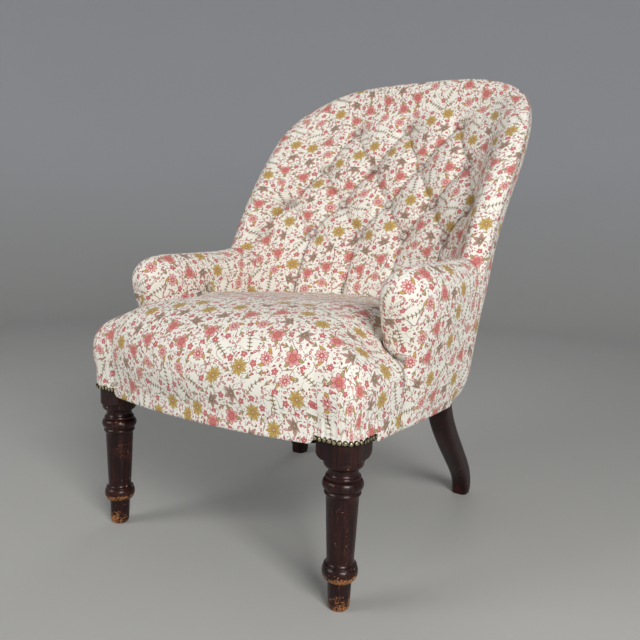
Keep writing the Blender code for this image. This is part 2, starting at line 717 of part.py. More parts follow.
def seat_front(x):
    """Front of the seat at its fullest, with rounded corners, and its swell past the frame."""
    inner = LEG_X - BLOCK_HALF
    swell = blend(SEAT_FRONT_BULGE, SEAT_BULGE, min(1.0, abs(x) / inner))
    y = -(BLOCK_HALF + COVER_OUT) - swell - FRONT_BOW * max(0.0, 1 - (x / inner) ** 2)
    past = max(0.0, abs(x) - SEAT_HALF + SEAT_RADIUS)
    return y + SEAT_RADIUS - math.sqrt(max(0.0, SEAT_RADIUS ** 2 - past ** 2)), swell


def seat_top(x, y):
    """Height of the seat's top: it falls to the front and sides and dips before the arms' noses."""
    flat = blend(1.0, SEAT_REAR_FLAT, smoothstep(SEAT_MID_Y, ARM_NOSE_Y + 0.03, y))
    across = min(1.0, abs(x) / SEAT_HALF) * flat
    inside = min(abs(x), SEAT_HALF - SEAT_RADIUS)
    front_y = seat_front(inside)[0]
    along = min(1.0, max(0.0, (SEAT_MID_Y - y) / (SEAT_MID_Y - front_y)))
    power = 4 + 8 * max(across, along) ** 2
    level = min(1.0, (across ** power + along ** power) ** (1 / power))
    crown = SEAT_CROWN_Z - SEAT_BACK_FALL * smoothstep(SEAT_MID_Y, SEAT_MID_Y + 0.25, y)
    near_nose = smoothstep(0.16, 0.22, abs(x)) * math.exp(-((y - ARM_FRONT_Y) / SEAT_DIP_REACH) ** 2)
    dip = SEAT_DIP * near_nose * (1 - level ** 8)
    return blend(SEAT_BULGE_Z, crown, (1 - level ** SEAT_CROWN_POWER) ** (1 / SEAT_EDGE_POWER)) - dip


def seat_grid():
    """Plan of the seat's top: rows of (x, y) points, and faces that leave out the arms."""
    inner = LEG_X - BLOCK_HALF
    tuck = ARM_INNER_X - SEAT_ARM_GAP
    right = [inner * k for k in (0.0, 0.26, 0.52, 0.75, 0.91, 1.0)] + [tuck, tuck + 0.004, tuck + 0.011]
    right += [SEAT_HALF - SEAT_RADIUS + SEAT_RADIUS * math.sin(math.radians(t)) for t in (0, 18, 36, 54, 72, 90)]
    columns = [-x for x in reversed(right[1:])] + right
    front_rows = (0.0, 0.07, 0.18, 0.36, 0.60, 0.82, 1.0)
    rear_rows = (0.2, 0.5, 0.8, 1.0)
    points = []
    for share in front_rows + rear_rows:
        for x in columns:
            at_nose = nose_y(min(abs(x) + SEAT_ARM_GAP / 2, ARM_MID_X), SEAT_NOSE_Z) - SEAT_ARM_GAP
            split = at_nose if abs(x) >= tuck else SEAT_SPLIT_Y
            if len(points) < len(front_rows) * len(columns):
                y = blend(seat_front(x)[0], split, share)
            else:
                y = blend(split, pad_front(min(abs(x), tuck), BACK_PAD_BOTTOM, False) - SEAT_BACK_GAP, share)
            points.append((x, y))
    faces = skin_faces(len(front_rows) + len(rear_rows), len(columns), keep=lambda i, j:
                       i < len(front_rows) - 1 or max(abs(columns[j]), abs(columns[j + 1])) <= tuck)
    return points, faces


def rim_of(faces):
    """Boundary of a patch of faces: its vertex indices in order."""
    edges = {(a, b) for face in faces for a, b in zip(face, face[1:] + face[:1])}
    after = {a: b for a, b in edges if (b, a) not in edges}
    loop = [min(after)]
    while after[loop[-1]] != loop[0]:
        loop.append(after[loop[-1]])
    return loop


def seat_foot(x, y):
    """Point on the frame under the seat's edge, and the height of the cover's lower end there."""
    x, sign = abs(x), math.copysign(1.0, x)
    inner = LEG_X - BLOCK_HALF
    front_y, swell = seat_front(x)
    corner_x, corner_y = SEAT_HALF - SEAT_RADIUS, seat_front(SEAT_HALF)[0]
    at_front = abs(y - front_y) < 1e-6
    at_block = x > inner - 1e-6 and y < BLOCK_HALF
    foot = COVER_LEG_EDGE if at_block else COVER_BOTTOM
    if at_front and x > corner_x:
        share = SEAT_CORNER / SEAT_RADIUS
        return (sign * blend(corner_x, x, share), blend(corner_y, y, share)), foot
    if at_front:
        return (sign * x, y + swell), foot
    if x > SEAT_HALF - 1e-6:
        return (sign * (x - SEAT_BULGE), y), foot
    if x > FRAME_X + COVER_OUT:
        return (sign * (FRAME_X + COVER_OUT), y), COVER_BOTTOM
    if x > SEAT_HALF - SEAT_RADIUS:
        return (sign * x, y), RAIL_TOP + COVER
    beside_upright = x > inner - 1e-6 and y > HESSIAN_SIDE_END - 0.06
    return (sign * x, y), SEAT_CORNER_FOOT if beside_upright else ARM_INNER_SKIRT_Z


def drawn_in(ring, inset):
    """Closed ring of (x, y) points, running anticlockwise seen from above, moved in by an inset."""
    moved = []
    count = len(ring)
    for i in range(count):
        before = Vector(ring[i]) - Vector(ring[i - 1])
        after = Vector(ring[(i + 1) % count]) - Vector(ring[i])
        if before.length < 1e-6:
            before = after
        if after.length < 1e-6:
            after = before
        normals = [Vector((-v.y, v.x)).normalized() for v in (before, after)]
        mean = (normals[0] + normals[1]).normalized()
        moved.append(Vector(ring[i]) + mean * inset / max(0.5, mean.dot(normals[0])))
    return [(p.x, p.y) for p in moved]


def mirrored(half):
    """Half list of (x, ...) from front to back, closed into a ring by its mirror image."""
    return half + [(-p[0], *p[1:]) for p in half[-2:0:-1]]


def seat_skin(inset):
    """Points and faces of the seat's top and sides, drawn in by an inset."""
    plan, faces = seat_grid()
    loop = rim_of(faces)
    feet = [seat_foot(*plan[i]) for i in loop]
    edges = [max(seat_top(*plan[i]), foot + SEAT_EDGE_MIN) for i, (_, foot) in zip(loop, feet)]
    full = drawn_in([plan[i] for i in loop], inset)
    low = drawn_in([place for place, _ in feet], inset)
    points = [(x, y, seat_top(x, y) - inset) for x, y in plan]
    for i, (x, y), edge in zip(loop, full, edges):
        points[i] = (x, y, edge)
    rows = [loop]
    for level in SEAT_SIDE_ROWS:
        rows.append(range(len(points), len(points) + len(loop)))
        swell = 1 - smoothstep(0.0, SEAT_SIDE_TUCK, level)
        for (lx, ly), (fx, fy), edge, (_, foot) in zip(low, full, edges, feet):
            points.append((blend(lx, fx, swell), blend(ly, fy, swell), blend(edge, foot, level)))
    for upper, under in zip(rows, rows[1:]):
        for k in range(len(loop)):
            faces.append((upper[k], under[k], under[k - len(loop) + 1], upper[k - len(loop) + 1]))
    return points, faces


def seat_cover():
    outer, faces = seat_skin(0.0)
    inner, faces = seat_skin(COVER)
    return shell("seat_cover", outer, inner, faces, COTTON)


def seat_stuffing():
    """Stuffing on the sprung hessian, under the cover."""
    plan, faces = seat_grid()
    floor = RAIL_TOP + 2 * GAP + HESSIAN_THICK + HESSIAN_RISE
    edge = set(rim_of(faces))
    half = LEG_X - BLOCK_HALF + GAP
    top = [(x, y, seat_top(x, y) - COVER - STUFFING_GAP) for x, y in plan]
    under = [(x, y, floor) for x, y in plan]
    faces = [face for face in faces if not edge & set(face)
             and all(top[i][2] > floor + STUFFING_EDGE and abs(top[i][0]) < half for i in face)]
    return shell("seat_stuffing", top, under, faces, STUFFING)


def hessian_rear(x):
    """Rear edge of the hessian: on the back rail, drawn forward beside the uprights."""
    on_rail = back_outer(x, COVER_BOTTOM) - COVER_OUT - RAIL_THICK + HESSIAN_LAP
    return blend(on_rail, HESSIAN_SIDE_END, smoothstep(0.15, 0.185, abs(x)))


def hessian_front(x):
    """Front edge of the hessian, on the bowed front rail."""
    bow = FRONT_BOW * max(0.0, 1 - (x / (LEG_X - BLOCK_HALF)) ** 2)
    return -BLOCK_HALF - bow + RAIL_THICK - HESSIAN_LAP


def hessian_z(x, y):
    """Top face of the sprung hessian, tacked down on the rails."""
    front, rear = hessian_front(x), hessian_rear(x)
    across = min(1.0, abs(x) / HESSIAN_HALF)
    along = min(1.0, abs(2 * y - rear - front) / (rear - front))
    return RAIL_TOP + GAP + HESSIAN_THICK + HESSIAN_RISE * (1 - max(across, along) ** 4)


def hessian():
    across, along = 12, 10
    top = []
    for i in range(along + 1):
        for j in range(across + 1):
            x = HESSIAN_HALF * blend(-1, 1, j / across)
            y = blend(hessian_front(x), hessian_rear(x), i / along)
            top.append((x, y, hessian_z(x, y)))
    under = [(x, y, z - HESSIAN_THICK) for x, y, z in top]
    return shell("spring_hessian", top, under, skin_faces(along + 1, across + 1), JUTE)


def seat_frame():
    """Bowed front rail, side rails, curved back rail and the braces across the front corners."""
    inner = LEG_X - BLOCK_HALF - GAP
    steps = [blend(-inner, inner, k / 12) for k in range(13)]
    bow = [(x, -BLOCK_HALF - FRONT_BOW * (1 - (x / inner) ** 2)) for x in steps]
    outline = bow + [(x, y + RAIL_THICK) for x, y in reversed(bow)]
    plank("front_seat_rail", outline, RAIL_BOTTOM, RAIL_TOP, FRAME_WOOD)
    rail_x, rail_y = STILE_AT_RAIL
    inside = FRAME_X - RAIL_THICK
    for word, side in (("left", 1), ("right", -1)):
        front, rear = BLOCK_HALF + GAP, rail_y + SIDE_RAIL_END
        bend = blend(front, rear, 0.72)
        beside = rail_x + STILE_WIDTH / 2 + 2 * GAP
        before = rail_y - STILE_DEPTH / 2 - STILE_CLEAR
        outline = [(FRAME_X, front), (FRAME_X, bend), (FRAME_X - SIDE_RAIL_TUCK, rear), (beside, rear),
                   (beside, before), (inside, before), (inside, front)]
        outline = [(side * x, y) for x, y in outline]
        plank("side_seat_rail_" + word, outline, RAIL_BOTTOM, RAIL_TOP, FRAME_WOOD)
        near = inside - GAP
        reach_x = near - BRACE_REACH
        behind = -BLOCK_HALF - FRONT_BOW * (1 - ((reach_x + BRACE_WIDTH / 2) / inner) ** 2) + RAIL_THICK + GAP
        outline = [(reach_x, behind + 0.003), (reach_x + BRACE_WIDTH, behind + 0.003),
                   (near, BLOCK_HALF + BRACE_REACH - BRACE_WIDTH), (near, BLOCK_HALF + BRACE_REACH)]
        middle = (RAIL_BOTTOM + RAIL_TOP) / 2
        plank("corner_brace_" + word, [(side * x, y) for x, y in outline], middle - BRACE_HEIGHT / 2,
              middle + BRACE_HEIGHT / 2, FRAME_WOOD)
    half = rail_x - STILE_WIDTH / 2 - 2 * GAP
    steps = [blend(half, -half, k / 10) for k in range(11)]
    curve = [(x, back_outer(x, COVER_BOTTOM) - COVER_OUT) for x in steps]
    outline = curve + [(x, y - RAIL_THICK) for x, y in reversed(curve)]
    plank("back_seat_rail", outline, RAIL_BOTTOM, RAIL_TOP, FRAME_WOOD)


def strap(name, start, end, crossings, first_over, turn_z, place):
    """Webbing strap along one axis, woven over and under the straps it crosses."""
    line = [(start, 0.0)]
    for k, at in enumerate(crossings):
        lift = WEB_WEAVE * (1 if (k % 2 == 0) == first_over else -1)
        line += [(at - WEB_WIDTH / 2 - 0.002, lift), (at + WEB_WIDTH / 2 + 0.002, lift)]
    line.append((end, 0.0))
    half = WEB_THICK / 2
    outline = [(a, b - half) for a, b in line] + [(a, b + half) for a, b in reversed(line)]
    obj = plank(name, outline, -WEB_WIDTH / 2, WEB_WIDTH / 2, JUTE)
    obj.rotation_euler = (math.radians(90), 0.0, turn_z)
    obj.location = place
    return obj


def springing():
    """Interlaced webbing under the rails and five waisted springs on it."""
    across = [-WEB_PITCH, 0.0, WEB_PITCH]
    along = [SPRING_MID_Y + y for y in across]
    half_x = FRAME_X - 0.006
    rear_y = back_outer(WEB_PITCH, COVER_BOTTOM) - COVER_OUT - 0.006
    for k, x in enumerate(across):
        front_y = -BLOCK_HALF - FRONT_BOW * (1 - (x / (LEG_X - BLOCK_HALF)) ** 2) + 0.004
        name = "webbing_long_%d" % (k + 1)
        strap(name, front_y, rear_y, along, k % 2 == 0, math.radians(90), (x, 0.0, WEB_Z))
    for k, y in enumerate(along):
        strap("webbing_cross_%d" % (k + 1), -half_x, half_x, across, k % 2 == 1, 0.0, (0.0, y, WEB_Z))
    low = WEB_Z + WEB_WEAVE + WEB_THICK / 2 + GAP + SPRING_WIRE
    places = [(x, y) for y in (along[0], along[2]) for x in (across[0], across[2])] + [(0.0, along[1])]
    for k, (x, y) in enumerate(places):
        high = hessian_z(x, y + SPRING_END_R) - HESSIAN_THICK - 2 * GAP - SPRING_WIRE
        coil_spring("seat_spring_%d" % (k + 1), x, y, low, high)


def coil_spring(name, x, y, low, high):
    curve = bpy.data.curves.new(name, "CURVE")
    curve.dimensions = "3D"
    curve.bevel_depth = SPRING_WIRE
    curve.bevel_resolution = 0
    curve.use_fill_caps = True
    points = SPRING_TURNS * 8 + 1
    spline = curve.splines.new("POLY")
    spline.points.add(points - 1)
    for k, point in enumerate(spline.points):
        share = k / (points - 1)
        radius = blend(SPRING_WAIST_R, SPRING_END_R, (2 * share - 1) ** 2)
        turn = 2 * math.pi * (SPRING_TURNS * share + 0.25)
        point.co = (x + radius * math.cos(turn), y + radius * math.sin(turn), blend(low, high, share), 1.0)
    return add_object(name, curve, STEEL)


def bottom_cloth():
    """Dust cloth under the webbing, cut round the four legs."""
    inner = LEG_X - BLOCK_HALF - 0.002
    rail_x, rail_y = STILE_AT_RAIL
    half = [(0.0, -BLOCK_HALF - FRONT_BOW)]
    half += [(inner * k / 4, -BLOCK_HALF - FRONT_BOW * (1 - (k / 4) ** 2) + 0.001) for k in range(1, 5)]
    half += [(inner, BLOCK_HALF + 0.002), (FRAME_X - 0.001, BLOCK_HALF + 0.002)]
    by_leg = rail_x - 0.035
    half += [(FRAME_X - 0.001, rail_y - 0.075), (by_leg, rail_y - 0.055), (by_leg, rail_y + 0.030)]
    half += [(x, back_outer(x, COVER_BOTTOM) - COVER_OUT - 0.002) for x in (0.15, 0.10, 0.05, 0.0)]
    high = WEB_Z - WEB_WEAVE - WEB_THICK / 2 - GAP
    return plank("bottom_cloth", mirrored(half), high - 0.001, high, DUST_CLOTH)


# Back

def back_grid(across, down, bottom, surface, half=None):
    points = []
    fan = math.radians(80)
    for i in range(down + 1):
        w = blend(1.0, -1.0, i / down)
        for j in range(across + 1):
            u = math.sin(fan * blend(-1.0, 1.0, j / across)) / math.sin(fan)
            x, z = back_patch(u, w, bottom)
            if half is not None:
                x *= half(z) / side_x(min(z, BACK_WAIST_Z))
            points.append((x, surface(x, z), z))
    return points


def pad_half(z):
    """Half width of the inside back, which draws in behind the outside panels of the arms."""
    return side_x(min(z, BACK_WAIST_Z)) - (COVER + 2 * GAP) * (1 - smoothstep(ARM_TOP_Z, ARM_TOP_Z + 0.03, z))


def inside_back():
    across, down = 26, 20
    front = back_grid(across, down, BACK_PAD_BOTTOM, pad_front, pad_half)
    rear = back_grid(across, down, BACK_PAD_BOTTOM, pad_rear, pad_half)
    pad = shell("inside_back", front, rear, skin_faces(down + 1, across + 1), COTTON)
    for word, side in (("left", 1), ("right", -1)):
        x_back, y_back = stile_front(ARM_RAIL_Z)
        room = ARM_POST_WIDTH / 2 + NOTCH_ROOM
        ends = [side * (x_back - ARM_POST_WIDTH / 2 - STILE_CLEAR), side * (x_back + room)]
        mesh = box_mesh("arm_rail_notch_" + word, (min(ends), 0.2, ARM_RAIL_Z - 0.002),
                        (max(ends), y_back + 0.02, ARM_RAIL_Z + ARM_RAIL_HEIGHT + 0.002))
        boolean(pad, add_cutter("arm_rail_notch_" + word, mesh), "DIFFERENCE")
    return pad


def outside_back():
    across, down = 18, 14
    outer = back_grid(across, down, COVER_BOTTOM, lambda x, z: back_outer(x, z) + GAP)
    inner = back_grid(across, down, COVER_BOTTOM, lambda x, z: back_outer(x, z, COVER) + GAP)
    draw_in = 1 - COVER / BACK_HALF
    inner = [(x * draw_in, y, min(z, blend(BACK_WAIST_Z, z, draw_in))) for x, y, z in inner]
    return shell("outside_back", outer, inner, skin_faces(down + 1, across + 1), COTTON)


def crest_rail():
    """Arched top rail that joins the two uprights."""
    path = []
    steps = 14
    rise = BACK_TOP_Z - CREST_INSET - BACK_WAIST_Z
    first = math.asin(((STILE_TOP_Z + CREST_GAP - BACK_WAIST_Z) / rise) ** (BACK_ARCH_POWER / 2))
    for k in range(steps + 1):
        turn = blend(first, math.pi - first, k / steps)
        reach = abs(math.cos(turn)) ** (2 / BACK_ARCH_POWER)
        x = math.copysign(reach, math.cos(turn)) * (BACK_HALF - CREST_INSET)
        z = BACK_WAIST_Z + rise * math.sin(turn) ** (2 / BACK_ARCH_POWER)
        path.append((x, cavity_mid(x, z), z))
    return bar("crest_rail", path, CREST_DEPTH, CREST_DEPTH, FRAME_WOOD)


def lower_back_rail():
    """Curved rail between the uprights, where the inside back is tacked off."""
    half = side_x(LOWER_RAIL_Z) - CREST_INSET - STILE_WIDTH / 2 - 0.006
    curve = [(x, cavity_mid(x, LOWER_RAIL_Z)) for x in (blend(half, -half, k / 10) for k in range(11))]
    outline = [(x, y + LOWER_RAIL_THICK / 2) for x, y in curve]
    outline += [(x, y - LOWER_RAIL_THICK / 2) for x, y in reversed(curve)]
    return plank("lower_back_rail", outline, LOWER_RAIL_Z - LOWER_RAIL_HEIGHT / 2,
                 LOWER_RAIL_Z + LOWER_RAIL_HEIGHT / 2, FRAME_WOOD)


# Buttons and nails

def button_mesh():
    mesh = bpy.data.meshes.new("button")
    bm = bmesh.new()
    bmesh.ops.create_uvsphere(bm, u_segments=8, v_segments=4, radius=1.0)
    for vert in bm.verts:
        vert.co = Vector((vert.co.x * BUTTON_RADIUS, vert.co.y * BUTTON_RADIUS, vert.co.z * BUTTON_THICK / 2))
    bm.to_mesh(mesh)
    bm.free()
    mesh.shade_smooth()
    mesh.materials.append(COTTON)
    return mesh


def seat_button(name, mesh, place, facing, tree):
    """Button pressed against a padded surface, facing along a direction out of it."""
    axis = Vector(facing).normalized()
    turn = axis.to_track_quat("Z", "Y")
    start = Vector(place) + axis * 0.1
    reach = []
    for k in range(13):
        angle = 2 * math.pi * k / 6
        radius = (0.0, 0.55, 0.98)[0 if k == 12 else 1 + k // 6] * BUTTON_RADIUS
        off = turn @ Vector((radius * math.cos(angle), radius * math.sin(angle), 0.0))
        hit = tree.ray_cast(start + off, -axis)
        bulge = BUTTON_THICK / 2 * math.sqrt(max(0.0, 1 - (radius / BUTTON_RADIUS) ** 2))
        if hit[0] is not None:
            reach.append(hit[3] - bulge)
    obj = bpy.data.objects.new(name, mesh)
    CHAIR.objects.link(obj)
    obj.parent = ROOT
    obj.location = start - axis * (min(reach) - 2 * GAP)
    obj.rotation_mode = "QUATERNION"
    obj.rotation_quaternion = turn
    return obj


def all_buttons(back, arms):
    mesh = button_mesh()
    tree = surface_tree(back)
    for k, (x, z) in enumerate(BUTTONS):
        step = 0.004
        slope_x = (pad_base(x + step, z) - pad_base(x - step, z)) / (2 * step)
        slope_z = (pad_base(x, z + step) - pad_base(x, z - step)) / (2 * step)
        name = "back_button_%02d" % (k + 1)
        seat_button(name, mesh, (x, pad_base(x, z), z), (slope_x, -1.0, slope_z), tree)
    y, z = ARM_BUTTON
    for (word, side), arm in zip((("left", 1), ("right", -1)), arms):
        place = (side * ARM_INNER_X, y, z)
        seat_button("arm_button_" + word, mesh, place, (-side, 0.0, 0.0), surface_tree(arm))


def surface_tree(obj):
    bm = bmesh.new()
    bm.from_mesh(obj.data)
    tree = BVHTree.FromBMesh(bm)
    bm.free()
    return tree


def nail_row(name, side):
    """Close row of dome nails round the top of a front leg, each head touching the next."""
    out = COVER_OUT + GAP * 2 + NAIL_RADIUS
    radius = LEG_CORNER + out
    straight = LEG_BLOCK - LEG_CORNER
    bend = radius * math.pi / 2
    total = 2 * straight + bend
    nails = round(total / NAIL_PITCH)
    curve = bpy.data.curves.new(name, "CURVE")
    curve.dimensions = "3D"
    curve.bevel_depth = NAIL_RADIUS
    curve.bevel_resolution = 1
    curve.use_fill_caps = True
    spline = curve.splines.new("POLY")
    per_nail = 4
    spline.points.add(nails * per_nail)
    for k, point in enumerate(spline.points):
        way = total * k / (nails * per_nail)
        if way < straight:
            x, y = -BLOCK_HALF + way, -BLOCK_HALF - out
        elif way < straight + bend:
            turn = (way - straight) / radius
            x = BLOCK_HALF - LEG_CORNER + radius * math.sin(turn)
            y = -BLOCK_HALF + LEG_CORNER - radius * math.cos(turn)
        else:
            x, y = BLOCK_HALF + out, -BLOCK_HALF + LEG_CORNER + way - straight - bend
        point.co = (side * (LEG_X + x), y, NAIL_Z, 1.0)
        point.radius = (0.35, 0.86, 1.0, 0.86)[k % per_nail]
    return add_object(name, curve, BRASS)


def centre_on_floor():
    """Bring the middle of the chair's footprint to the origin."""
    bpy.context.view_layer.update()
    depsgraph = bpy.context.evaluated_depsgraph_get()
    ys = []
    for obj in CHAIR.objects:
        if obj.type != "EMPTY":
            shape = obj.evaluated_get(depsgraph)
            ys += [(obj.matrix_world @ vertex.co).y for vertex in shape.to_mesh().vertices]
            shape.to_mesh_clear()
    ROOT.location.y = -(min(ys) + max(ys)) / 2


def main():
    arms = []
    for word, side in (("left", 1), ("right", -1)):
        front_leg("front_leg_" + word, side)
        rear_leg("rear_leg_" + word, side)
        arm_frame(word, side)
        arms.append(inside_arm("inside_arm_" + word, side))
        outside_arm("outside_arm_" + word, side)
        nail_row("nail_row_" + word, side)
    seat_frame()
    springing()
    hessian()
    seat_stuffing()
    seat_cover()
    bottom_cloth()
    back = inside_back()
    outside_back()
    crest_rail()
    lower_back_rail()
    all_buttons(back, arms)
    centre_on_floor()


main()
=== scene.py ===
"""Looks of the slipper chair: printed cotton over the sprung seat, arms and buttoned back,
turned and polished legs, brass dome nails, and the grey studio it stands in.

Metres, +Z up, the chair faces -Y. Sizes are set from the line between the front leg axes
(y = 0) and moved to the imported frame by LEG_Y.
"""
import math

import bmesh
import bpy
import numpy as np
from mathutils import Matrix, Vector


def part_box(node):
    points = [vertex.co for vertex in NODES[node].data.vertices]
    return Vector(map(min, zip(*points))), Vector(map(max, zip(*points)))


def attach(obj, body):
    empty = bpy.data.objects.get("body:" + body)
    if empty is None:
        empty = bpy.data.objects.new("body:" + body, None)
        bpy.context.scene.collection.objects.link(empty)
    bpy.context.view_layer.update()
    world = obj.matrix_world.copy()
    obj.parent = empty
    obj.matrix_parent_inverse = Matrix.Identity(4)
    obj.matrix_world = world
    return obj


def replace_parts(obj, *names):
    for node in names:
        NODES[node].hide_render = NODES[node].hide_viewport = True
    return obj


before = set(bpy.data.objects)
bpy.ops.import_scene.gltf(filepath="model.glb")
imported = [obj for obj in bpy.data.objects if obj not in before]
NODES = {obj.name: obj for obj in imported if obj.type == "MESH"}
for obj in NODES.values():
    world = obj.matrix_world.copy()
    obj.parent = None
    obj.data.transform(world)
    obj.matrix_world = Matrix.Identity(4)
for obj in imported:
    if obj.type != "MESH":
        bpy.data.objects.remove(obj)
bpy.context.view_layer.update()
BODY = "root"


def middle(node):
    low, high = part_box(node)
    return (low + high) / 2


LEG_X = middle("front_leg_left").x
LEG_Y = middle("front_leg_left").y

# Legs and seat frame
BLOCK_HALF = 0.0275
BLOCK_EASE = 0.0022          # softened edges of the leg block
LEG_CORNER = 0.022
LEG_TURNED_TOP = 0.2075
LEG_FLARE = 0.0195
FLARE_RADIUS = (0.0288, 0.0400)  # of the block's run-out, from its lower end up
RAIL_BOTTOM = 0.2320
RAIL_TOP = 0.3045
FRONT_BOW = 0.022
FRAME_X = LEG_X + BLOCK_HALF
REAR_FOOT = (0.195, 0.491)
REAR_FOOT_SIZE = 0.030
REAR_FOOT_LEVEL = 0.03       # below this height a rear leg's section turns level with the floor
REAR_FOOT_EASE = 0.93        # the worn edge of the foot
STILE_AT_RAIL = (0.205, 0.329)
STILE_WIDTH = 0.034
STILE_DEPTH = 0.038
STILE_TOP_Z = 0.640
REAR_LEG_STOUT = 1.13        # the shin and foot are a little stouter than the part in the cloth
STOUT_END = (RAIL_BOTTOM - 0.028, RAIL_BOTTOM - 0.006)
REAR_LEG_POWER = 3.4         # squareness of its section
UPRIGHT_SCALE = 0.68
UPRIGHT_INSET = 0.046

# Seat
COVER_OUT = 0.0047           # outside of the cloth over the wood
COVER_BOTTOM = 0.2280
COVER_LEG_EDGE = 0.2356
COVER_ON_RAIL = 0.0035       # lower edge of the seat's cloth over the rail, inside an arm
HEM = 0.010                  # how far the cloth turns in under the rail
HEM_FOLD = 0.0012            # the fold of the hem
HEM_DROP = 0.0004            # the fold hangs a little below the rail
HEM_RISE = 0.0009            # and the end of the hem lies a little above the fold
BACK_HEM_RISE = 0.0008
HEM_CLEAR = 0.0004           # at a leg's block the hem stops short of the wood
SEAT_BULGE = 0.006
SEAT_FRONT_BULGE = 0.012
SEAT_BULGE_Z = 0.296
SEAT_CROWN_Z = 0.392
SEAT_NOSE_Z = 0.352
SEAT_MID_Y = 0.110
SEAT_SPLIT_Y = 0.115
SEAT_REAR_FLAT = 0.55
SEAT_BACK_FALL = 0.014
SEAT_DIP = 0.016             # the seat is hollowed beside an arm's front
SEAT_DIP_REACH = 0.085
SEAT_DIP_X = (0.16, 0.22)    # where the hollow starts, and where it is full
SEAT_DIP_POWER = 20          # higher keeps it full nearer to the seat's edge
SEAT_CORNER_FOOT = 0.362
SEAT_ARM_GAP = 0.0012
SEAT_BACK_GAP = 0.0040
SEAT_UNDER_ARM = 0.012       # the seat's side runs on under the arm's outer cloth
SEAT_EDGE_MIN = 0.008
UPRIGHT_FRONT_Y = 0.243
CREASE_SHADE = 0.8           # painted shade along the fold where the seat meets an arm's front
CREASE_SEAT_WIDTH = 0.003
CREASE_ARM_WIDTH = 0.0018
CREASE_END_Z = (0.279, 0.295)    # the painted shade fades out downwards between these heights
CREASE_TOP_Z = (0.325, 0.340)    # and upwards, on the arm, between these
SEAT_CROWN_POWER = 2.6
SEAT_EDGE_POWER = 2.45
SEAT_SIDE_TUCK = 0.78
SEAT_CORNER = LEG_CORNER + COVER_OUT
SEAT_RADIUS = SEAT_CORNER + SEAT_BULGE
SEAT_HALF = FRAME_X + COVER_OUT + SEAT_BULGE
GATHER_DEPTH = 0.0009        # ripples of cloth drawn together over a front leg
GATHER_PITCH = 0.0095
GATHER_X = (0.182, 0.200)    # the gathers start beside the leg's block
GATHER_Y = (0.02, 0.06)      # and end behind it

# Arms
ARM_WIDTH = 0.079
ARM_INNER_X = 0.205
ARM_TOP_Z = 0.457
ARM_TOP_SLOPE = 0.05
ARM_ROLL = 0.042
ARM_FRONT_Y = 0.0935
ARM_NOSE = 0.072
ARM_NOSE_POWER = 3.0
ARM_NOSE_DROP = 0.012
ARM_NOSE_SWELL = 0.022
ARM_SWELL_END_Y = 0.300
ARM_WALL_SHARE = 0.4
ARM_INNER_SKIRT_Z = 0.325
ARM_OUTER_SKIRT_Z = 0.309
ARM_MID_X = ARM_INNER_X + ARM_WIDTH / 2
ARM_OUTER_X = ARM_INNER_X + ARM_WIDTH
ARM_NOSE_Y = ARM_FRONT_Y + ARM_NOSE
ARM_BUTTON = (0.215, 0.394)
ARM_BUTTON_PIT = 0.007       # depth of the padding's pit round the button
ARM_BUTTON_FLAT = 0.005
ARM_BUTTON_REACH = 0.016
ARM_FOLD_DEPTH = 0.0022      # the fold that runs through the button
ARM_FOLD_WIDTH = 0.004
ARM_FOLD_REACH = 0.05
ARM_FOLD_SLOPE = 0.35
ARM_BEHIND_PAD = 0.009       # an arm's cloth ends behind the inside back's surface
ARM_BEHIND_RIM = 0.002       # or just behind its rim
ARM_FAIR_RUN = 0.055         # over this run the panel below an arm leaves the line of the seat's side
ARM_SETTLED = (-0.0050, -0.0060, -0.0065)    # the right arm's padding has settled outwards
ARM_SETTLED_Z = (0.318, 0.375)

# Tub back
BACK_TOP_Z = 0.817
BACK_WAIST_Z = 0.620
BACK_HALF = 0.279
BACK_ARCH_POWER = 3.35
BACK_PAD_BOTTOM = 0.366
SIDE_LINE = ((0.228, 0.2550), (0.290, 0.2675), (0.400, 0.2750), (0.480, 0.2735), (0.560, 0.2765),
             (BACK_WAIST_Z, BACK_HALF))
RIM_LINE = ((0.228, 0.297), (0.360, 0.302), (0.480, 0.358), (0.557, 0.402), (0.634, 0.458),
            (0.711, 0.518), (0.749, 0.556), (0.790, 0.598), (0.820, 0.612))
PAD_LINE = ((0.340, 0.421), (0.495, 0.481), (0.557, 0.506), (0.632, 0.538), (0.716, 0.581),
            (0.820, 0.632))
REAR_LINE = ((0.228, 0.412), (0.820, 0.676))
TUB_POWER = 2.1
RIM_RADIUS = 0.032
RIM_EDGE = 0.007
RIM_BLEND = 0.085
PAD_PUFF = 0.024
PAD_BACKING = 0.006
PAD_EDGE_BACK = 0.01         # the padding's edge lies this far behind the rim's line
REAR_CORNER = (0.018, 0.042)     # depth and height of the rounding at the lower rear corners
REAR_CORNER_WAY = (0.83, 0.55)   # its way inwards and forwards
REAR_CORNER_REACH = (0.02, 0.07)
PANEL_OUT = 0.0003           # the outside back's cloth lies on the solid's surface
PRINT_MARK = (0.0, 0.60)     # place on the back from which the cloth's lengths are measured
OUTSIDE_PATCH = (1.7, 0.0)   # the outside back is cut from another part of the cloth
SEAM_LAP = 0.0055            # the outside arm's cloth runs on under the outside back's edge
OUTSIDE_FULLNESS = 0.014     # the outside back stands a little proud behind its seam
FULL_Z = ((0.50, 0.62), (0.74, 0.80))        # heights over which this fullness comes and goes
FULL_INSET = ((0.0, 0.014), (0.04, 0.15))    # and distances in from the back's outline
PAD_DRAWN_IN = 0.0041        # the inside back passes behind the outer cloth of the arms
BUTTON_ROWS = ((0.716, (0.0, 0.119)), (0.632, (0.053, 0.161)), (0.557, (0.0, 0.103, 0.205)),
               (0.495, (0.051, 0.150, 0.222)))
BUTTON_RADIUS = 0.0080
BUTTON_HEIGHT = 0.0036
BUTTON_WRAP = 1.15           # length of cloth over its width
